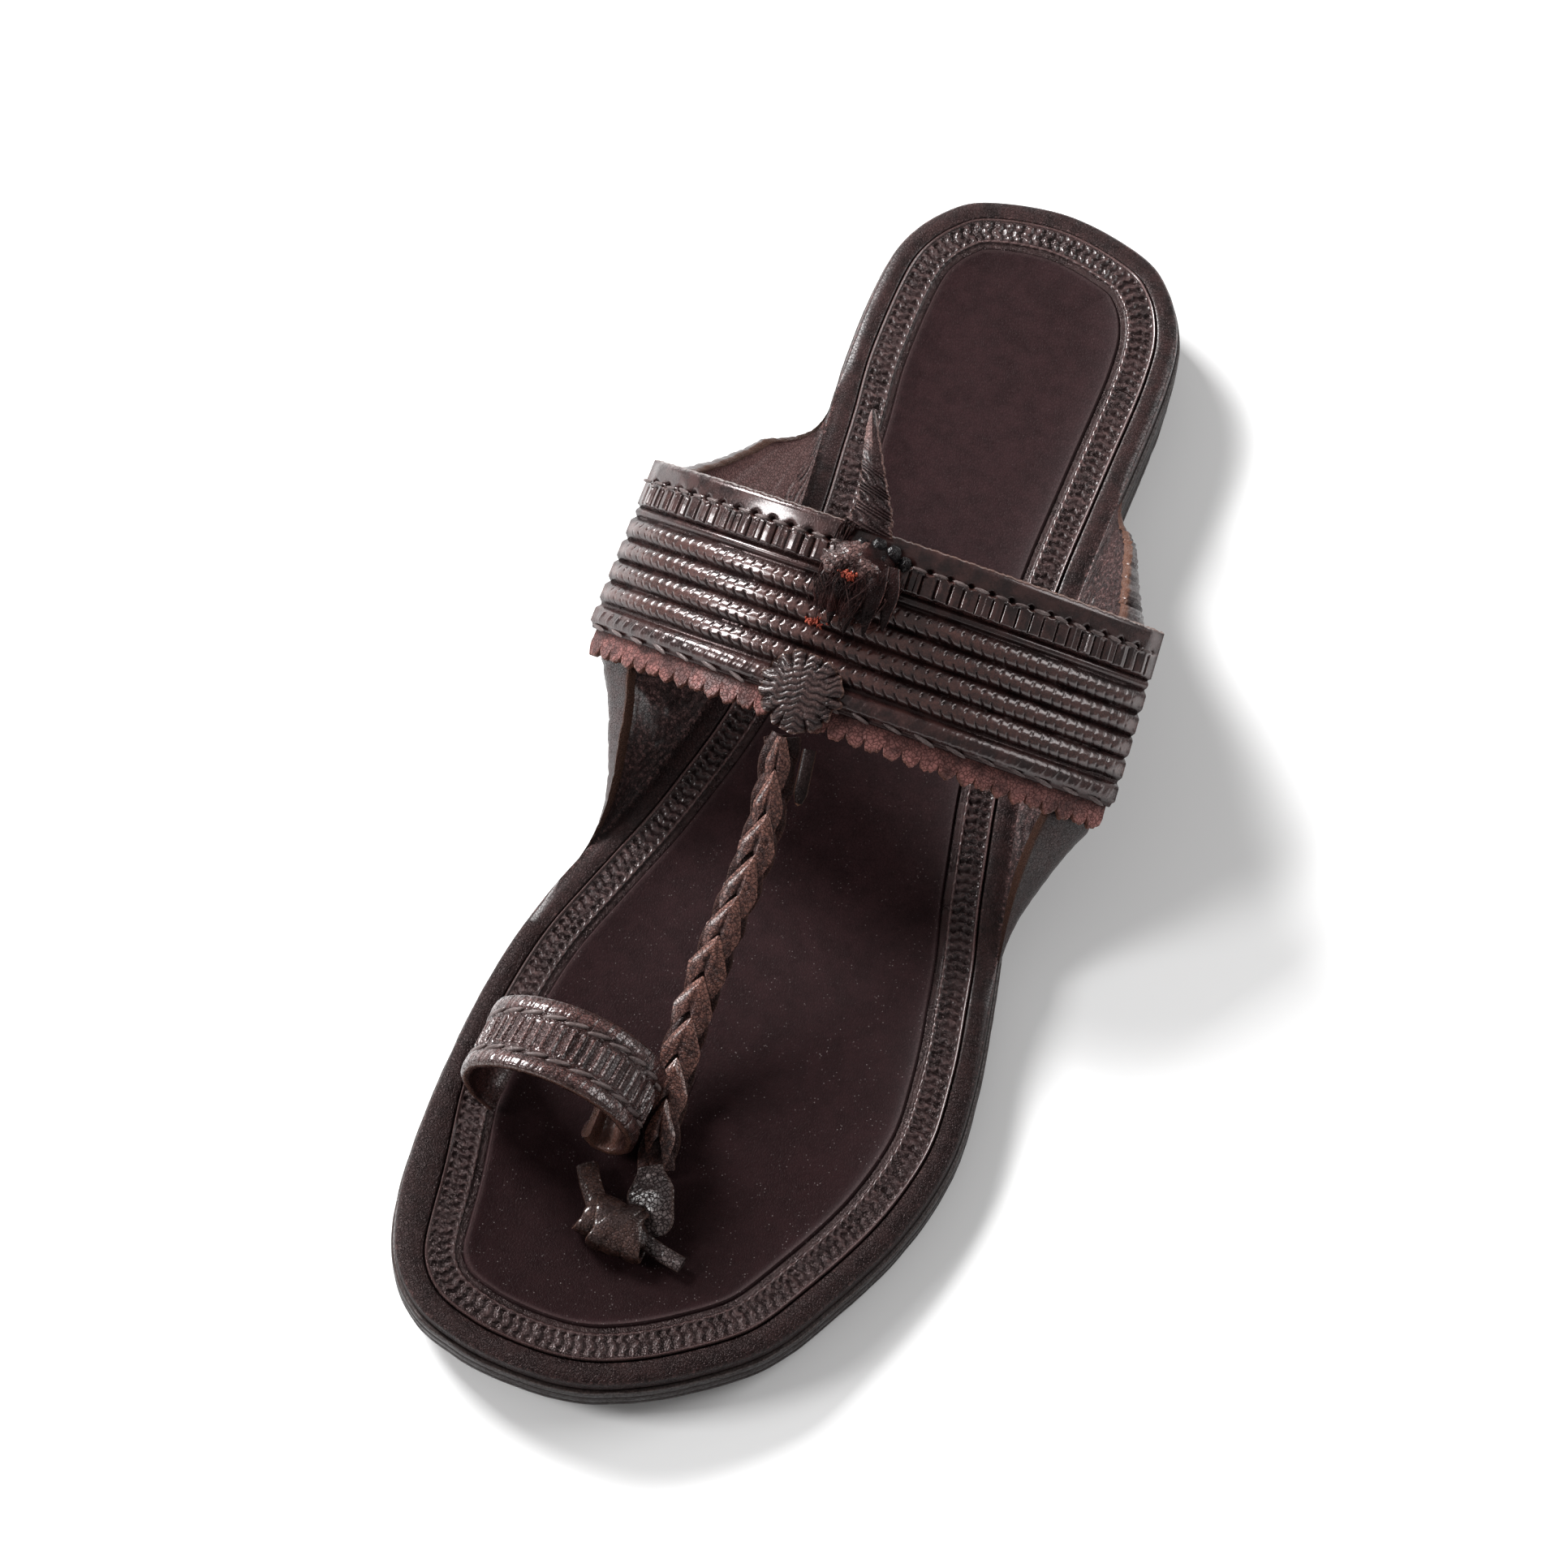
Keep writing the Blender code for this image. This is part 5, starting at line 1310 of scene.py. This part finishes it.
for number, start in enumerate(places):
    grade = number / (len(places) - 1)
    half = SCALE_HALF * np.interp(grade, (0.0, 0.12, 0.3, 0.75, 1.0), (0.6, 0.8, 1.0, 1.0, 0.82))
    half = half * draw.uniform(0.93, 1.07)
    long = SCALE_RUN * draw.uniform(0.96, 1.06)
    lean = draw.uniform(-0.35, 0.35)
    lines = []
    for b in np.linspace(0.0, 1.0, 30):
        t = b * reach
        narrowed = np.minimum(t / 0.6, 1.0) ** 0.8 * (1.0 - 0.12 * np.clip(t - 0.8, 0.0, 1.0))
        x = half * over * narrowed + lean * (1.0 - t)
        fold = 0.34 * bell(over, -0.10, 0.12) * smooth((t - 0.2) / 0.4)
        crown = 0.75 * (1.0 - np.abs(over) ** 2.4) * min(1.0, 4.0 * b)
        z = 0.35 + 1.15 * (1.0 - t) + crown - fold
        z = z - under_side * 0.9 * (1.0 - b**8) * (1.0 - over**8)
        s_at = np.clip(start + t * long, 0.0, distance[-1])
        here = np.column_stack([np.interp(s_at, distance, values) for values in middle.T])
        k = int(np.clip(np.searchsorted(distance, start + b * long), 0, BRAID_POINTS - 1))
        row = here - sideways[k] * x[:, None] + up[k] * z[:, None]
        # each scale's fold and its far end, where it slips under the next, are darkened with painted shade
        rubbed = np.clip(0.62 + 0.5 * (1.0 - t) ** 3 + 0.3 * np.abs(over) ** 6 - fold, 0.0, 1.0) * ~under_side
        lines.append((row, rubbed, np.clip(fold * 2.0 + 1.4 * (t - 0.86), 0.0, 0.75)))
    rows, high, low = zip(*lines)
    strips.append(lay_skin(f"scale_{number}", rows, high=high, low=low, raw=0.0))
plait_leather = leather(
    "Plait leather", (0.014, 0.006, 0.0055), (0.066, 0.026, 0.021), (0.23, 0.100, 0.074),
    rough=(0.28, 0.44), grain=1.3, relief=0.14, wear=0.75, dust=0.1, shine=0.6, cracks=0.75,
)
fit(join(strips, "braid_strips"), "braid", plait_leather)

# Braid end
# A strip left over from the plait comes out beside it from under the rosette and is simply cut off.

END_PATH = ((-3.2, -13.9, 46.9), (-2.4, -18.6, 44.8), (-1.7, -23.2, 41.6))
END_POINTS = 40
END_HALF = 1.35
path = even(spline(END_PATH, 10), END_POINTS)
taper = END_HALF * np.minimum(1.0, (np.linspace(1.0, 0.0, END_POINTS) / 0.3) ** 0.5 + 0.15)
points, edge, crest = flat_strip(path, taper, thick=0.6, crown=0.4)
end_raw = edge * 0.5
end_raw[-2:] = 0.8
end = lay_skin("braid_end_strip", points, fill=True, high=crest * 0.5, raw=end_raw, low=0.0)
# painted shade: the strip is coloured nearly black where it lies in shadow beside the braid
strip_leather_in_painted_shade = leather(
    "Strip leather", (0.005, 0.0026, 0.0025), (0.011, 0.0055, 0.0050), (0.03, 0.015, 0.013),
    rough=(0.3, 0.5), grain=1.6, relief=0.1, wear=0.4, dust=0.1, shine=0.25,
)
fit(end, "braid_end", strip_leather_in_painted_shade)

# Toe ring
# The toe ring is a broad band of leather bent over the big toe. Its two margins are turned over cords and
# sewn down with slanting stitches, and a ladder of rungs stands between them. Both feet rest on the insole.

RING_SECTION = (
    (-36.2, 11.9), (-39.6, 15.4), (-41.4, 21.5), (-39.4, 28.6), (-33.0, 33.9), (-24.6, 36.0), (-16.2, 34.4),
    (-10.0, 29.6), (-7.0, 23.0), (-7.6, 16.6), (-10.8, 13.0), (-14.6, 13.2), (-16.8, 16.2),
)
RING_REAR_Y = -75.4
RING_WIDTH = 17.0
RING_WALL = 1.7
RING_MARGIN = 5.0
RING_RELIEF = 0.45
RING_LEAN = 0.11
RING_TUCK = 2.6
RUNG_PITCH = 2.15
STITCH_PITCH = 4.6
STITCH_ROW_IN = 4.0
FIRST_STITCH = 5.0
LAST_STITCH_TO_END = 12.0
STITCH_SLANT = 0.22
RING_POINTS = 420
line = even(spline(RING_SECTION, 20), RING_POINTS)
run = unit(np.gradient(line, axis=0))
out = np.column_stack((-run[:, 1], run[:, 0]))
length = np.linspace(0.0, lengths(line)[-1], RING_POINTS)
share = length / length[-1]
floor_at = float(insole_top(RING_REAR_Y))
lifted = smooth((line[:, 1] - floor_at - 3.0) / 8.0)
low_right = (1.0 - lifted) * smooth((line[:, 0] + 22.0) / 10.0)


def ring_row(at, height):
    """A row of points round the toe ring, this far from its rear edge and this high over its mean face."""
    lift_up = RING_LEAN * (at - RING_WIDTH / 2) * lifted
    ground = float(insole_top(RING_REAR_Y - at)) - floor_at
    tuck = RING_TUCK * (1.0 - at / RING_WIDTH) * low_right
    x = line[:, 0] + out[:, 0] * height - tuck
    z = line[:, 1] + out[:, 1] * height + lift_up + ground
    return np.column_stack((x, np.full(len(x), RING_REAR_Y - at), z))


face = np.unique(np.concatenate((np.linspace(0.0, RING_WIDTH, 56), [0.1, 0.3])))
force = 1.0 + waver(np.round(length / RUNG_PITCH) / 47.0, 0.7, 40, 103)
lines = []
for at in face:
    from_edge = min(at, RING_WIDTH - at)
    level = RING_RELIEF * smooth(from_edge / 0.6) * (1.0 - smooth((from_edge - RING_MARGIN + 0.5) / 0.5))
    cordy = bell(from_edge, 2.0, 1.3) * 0.24
    sunk = bell(from_edge, 4.0, 0.45) * 0.42
    in_ladder = float(smooth((from_edge - RING_MARGIN) / 0.6))
    rung = np.abs((length / RUNG_PITCH + 0.02 * at + waver(share, 0.08, 12, 101)) % 1.0 - 0.5)
    slit = smooth((rung - 0.12) / 0.12)
    ridge = in_ladder * force * (0.34 * (1.0 - slit) - 0.10 * slit)
    wrinkle = waver(share + 0.003 * at, 0.1, 40, 102) * (1.0 - in_ladder)
    height = level + cordy - sunk + ridge + wrinkle - (0.35 if from_edge < 0.12 else 0.0)
    # the cords' ridges and the rungs are rubbed lighter; painted shade darkens the sunk stitch lines and the
    # slits between the rungs
    rubbed = np.clip(0.35 + cordy * 2.0 + in_ladder * 0.5 * (1.0 - slit), 0.0, 1.0)
    shaded = np.clip(sunk * 2.0 + in_ladder * slit * 0.5, 0.0, 1.0)
    lines.append((ring_row(at, height), rubbed, shaded, 0.5 * float(smooth(1.0 - from_edge / 0.4))))
curl = smooth((share - 0.84) / 0.06)
far = RING_WIDTH - RING_MARGIN
for at in (RING_WIDTH - 0.1, RING_WIDTH - 0.8, far, RING_WIDTH / 2, RING_MARGIN, 0.8, 0.1):
    level = -RING_WALL + (0.3 if min(at, RING_WIDTH - at) < 0.2 else 0.0)
    lines.append((ring_row(at, level), 0.2 + 0.7 * curl, 0.0, 0.5 * curl))
rows, high, low, raw = zip(*lines, lines[0])
toe_ring = lay_skin("toe_ring_leather", rows, fill=True, angle=65.0, high=high, low=low, raw=raw)
ring_leather = leather(
    "Ring leather", (0.011, 0.0045, 0.0043), (0.050, 0.0190, 0.0165), (0.125, 0.052, 0.045),
    rough=(0.17, 0.30), grain=1.3, relief=0.10, wear=0.55, dust=0.1, shine=1.0, cracks=0.85,
)
fit(toe_ring, "toe_ring", ring_leather)
frames = []
for near in (STITCH_ROW_IN, RING_WIDTH - STITCH_ROW_IN):
    row_points = ring_row(near, 0.12)
    for at in np.arange(FIRST_STITCH, length[-1] - LAST_STITCH_TO_END, STITCH_PITCH):
        k = int(np.searchsorted(length, at))
        onward = unit(unit(row_points[k + 1] - row_points[k]) + np.array((0.0, STITCH_SLANT, 0.0)))
        up_way = np.array((out[k, 0], 0.0, out[k, 1]))
        up_way = unit(up_way - onward * up_way.dot(onward))
        frames.append((row_points[k], onward, np.cross(up_way, onward), up_way))
stitches = set_out("toe_ring_stitches", thread_stitch(length=5.2, width=1.15, height=1.1), frames)
fit(stitches, "toe_ring", thread)

# Toe knot
# The knot holds the braid and the ring to the sole. It is a rolled thong folded over itself and pulled tight,
# with a flat tab of grained leather over it and a short tail pointing to the little toe.

KNOT_SIZE = np.array((14.6, 8.8, 6.0))
KNOT_CENTRE = np.array((-4.2, -105.8, 14.6))
KNOT_SKEW = 0.12
KNOT_LOW, KNOT_HIGH = (-7.2, -4.9, -3.2), (7.2, 4.9, 3.6)
KNOT_COLUMNS = 97
KNOT_STRIP_POINTS = 60
shares = np.linspace(0.0, 1.0, 90)[:, None]
turn = np.linspace(0.0, math.tau, KNOT_COLUMNS)[None]
swell = np.sin(math.pi * (0.03 + 0.94 * shares)) ** 0.5
crumple = np.abs(np.sin(2.5 * turn + 9.0 * shares)) ** 0.7 * 0.10 - 0.2
size = swell * (1.0 + 0.12 * np.cos(3.0 * turn + 6.0 * shares) + crumple)
knot_points = np.stack(
    (
        (shares - 0.5) * KNOT_SIZE[0] * 0.92 + 0.0 * turn,
        KNOT_SIZE[1] / 2 * size * np.cos(turn) - KNOT_SKEW * (shares - 0.5) * KNOT_SIZE[0],
        KNOT_SIZE[2] / 2 * size * np.sin(turn),
    ),
    axis=2,
)
lump = lay_skin("knot_lump", knot_points + KNOT_CENTRE, fill=True, high=0.3, low=0.5)
knot_leather = leather(
    "Knot leather", (0.012, 0.0055, 0.0046), (0.045, 0.020, 0.0145), (0.20, 0.105, 0.075),
    rough=(0.2, 0.36), grain=1.4, relief=0.15, wear=0.8, dust=0.1, shine=0.8, cracks=0.8,
)
# the tab's pale worn colour stands for wear and a painted highlight over its crackled grain
tab_leather_with_painted_highlight = leather(
    "Tab leather", (0.010, 0.006, 0.006), (0.09, 0.068, 0.065), (0.44, 0.38, 0.37),
    rough=(0.30, 0.42), grain=1.15, relief=0.3, wear=0.9, dust=0.1, shine=1.0, cracks=1.0,
)
fit(lump, "toe_knot", knot_leather)
# the strip's turns round the lump: place along it, tilt and lean of the turn, half width
TURNS = (
    (-4.4, 0.16, 0.15, 2.2), (-1.5, -0.22, -0.1, 2.5), (1.7, 0.20, 0.15, 2.4),
    (4.2, -0.14, -0.2, 1.9), (0.1, 0.48, 0.05, 1.8),
)
around = np.linspace(0.0, math.tau, KNOT_COLUMNS)
wide, tall, cut = strip_section(np.linspace(0.0, math.tau, 25), 0.5)
edge = np.broadcast_to(cut, (KNOT_COLUMNS, len(cut)))
for number, (place, tilt, lean, half) in enumerate(TURNS):
    fat = 1.04 + 0.05 * number
    y = KNOT_SIZE[1] / 2 * 0.98 * fat * np.cos(around)
    z = KNOT_SIZE[2] / 2 * 0.92 * fat * np.sin(around)
    narrow = max(1.0 - (place / 8.6) ** 2, 0.2) ** 0.5
    x = place + tilt * y + lean * z
    ring_path = np.column_stack((x, y * narrow - KNOT_SKEW * place, z * narrow))
    ring_path = KNOT_CENTRE + np.clip(ring_path, KNOT_LOW, KNOT_HIGH)
    onward = np.gradient(ring_path, axis=0)
    onward[0] = onward[-1] = ring_path[1] - ring_path[-2]
    onward = unit(onward)
    wide_way = unit(np.cross(onward, unit(np.column_stack((0.0 * y, y / 4.4, z / 3.0)))))
    out_way = np.cross(wide_way, onward)
    pull = half * (1.0 + 0.12 * np.sin(2.0 * around + number))
    points = ring_path[:, None] + wide_way[:, None] * (wide * pull[:, None])[..., None]
    points = points + out_way[:, None] * (tall * 0.55)[None, :, None]
    wrap = lay_skin(f"knot_turn_{number}", points, high=0.25 + 0.6 * edge, low=0.0, raw=edge * 0.15)
    fit(wrap, "toe_knot", knot_leather)
# the straight pieces: name, three points of the way, half width, thickness, the way its face looks
KNOT_STRIPS = (
    ("thong", ((-14.4, -95.6, 13.0), (-12.0, -99.4, 13.8), (-8.2, -104.2, 15.4)), 2.1, 1.0, (-0.2, 0.0, 1.0)),
    ("tab", ((-2.6, -92.8, 16.4), (-0.2, -98.4, 16.4), (2.6, -104.8, 13.2)), 4.8, 0.8, (-0.37, -0.1, 0.92)),
    ("tail", ((0.0, -105.6, 14.0), (5.4, -107.0, 13.8), (10.2, -107.9, 13.9)), 1.6, 1.0, (-0.4, -0.12, 0.91)),
)
share = np.linspace(0.0, 1.0, KNOT_STRIP_POINTS)
rounded = np.sqrt(1.0 - np.clip((share - 0.72) / 0.29, 0.0, 1.0) ** 2) * (0.55 + 0.45 * smooth(share / 0.4))
for name, route, half, thick, up_way in KNOT_STRIPS:
    path = even(spline(route, 10), KNOT_STRIP_POINTS)
    half = half * (rounded if name == "tab" else 1.0)
    points, edge, crest = flat_strip(path, half, thick, crown=0.3, around=48, up=up_way)
    wave = waver(share[:, None] + 0.15 * crest, 0.14, 5, 111)
    points = points + np.array((0.0, 0.0, 1.0)) * (wave * (crest > 0.02))[..., None]
    rubbed = np.clip(crest * 0.5 + wave * 2.0, 0.0, 1.0)
    strip = lay_skin(f"knot_{name}", points, fill=True, high=rubbed, raw=edge * 0.3, low=0.0)
    fit(strip, "toe_knot", knot_leather if name == "thong" else tab_leather_with_painted_highlight)

# Floor, light and camera
# The shoe stands on a plain white floor under soft studio light from behind the heel, on the big toe side.

FLOOR_SIZE = 6.0
LAMP_AIM = Vector((0.0, 0.0, 0.03))
bpy.ops.mesh.primitive_plane_add(size=FLOOR_SIZE, location=(0.0, 0.0, 0.0))
floor = bpy.context.active_object
floor.name = "floor"
white = bpy.data.materials.new("White floor")
white.use_nodes = True
feed(white.node_tree.nodes["Principled BSDF"], {"Base Color": (0.93, 0.93, 0.93, 1.0), "Roughness": 0.9})
floor.data.materials.append(white)
world = bpy.data.worlds.new("Studio")
bpy.context.scene.world = world
world.use_nodes = True
feed(world.node_tree.nodes["Background"], {"Color": (1.0, 0.99, 0.985, 1.0), "Strength": 0.30})
bpy.context.scene.view_settings.view_transform = "Standard"


def hold(name, data, place, facing, axis):
    """Stands a lamp or camera at a place, with this axis of its own turned to face the way given."""
    holder = bpy.data.objects.new(name, data)
    bpy.context.scene.collection.objects.link(holder)
    holder.location = place
    holder.rotation_euler = facing.to_track_quat(axis, "Y").to_euler()
    return holder


def soft_box(name, place, size, power):
    """A square lamp that faces the shoe."""
    lamp = bpy.data.lights.new(name, "AREA")
    lamp.shape = "SQUARE"
    lamp.size = size
    lamp.energy = power
    hold(name, lamp, place, LAMP_AIM - Vector(place), "-Z")


soft_box("key", (-1.44, 0.7, 1.15), size=0.68, power=71.0)
soft_box("front", (-1.5, -0.75, 1.2), size=0.5, power=23.0)
soft_box("rear", (1.14, 0.92, 1.02), size=0.95, power=13.5)

CAMERA_AZIMUTH = math.radians(23.0)
CAMERA_ELEVATION = math.radians(62.0)
CAMERA_PLACE = (0.14692, -0.44781, 0.89328)
FOCAL_PIXELS = 6245.0
FRAME_PIXELS = 1932.0
FRAME_SHIFT = 0.095
SENSOR_WIDTH = 36.0
lens = bpy.data.cameras.new("camera")
lens.sensor_width = SENSOR_WIDTH
lens.lens = FOCAL_PIXELS / FRAME_PIXELS * SENSOR_WIDTH
lens.shift_x = FRAME_SHIFT
flat = math.cos(CAMERA_ELEVATION)
back = Vector((math.sin(CAMERA_AZIMUTH) * flat, -math.cos(CAMERA_AZIMUTH) * flat, math.sin(CAMERA_ELEVATION)))
bpy.context.scene.camera = hold("camera", lens, CAMERA_PLACE, back, "Z")
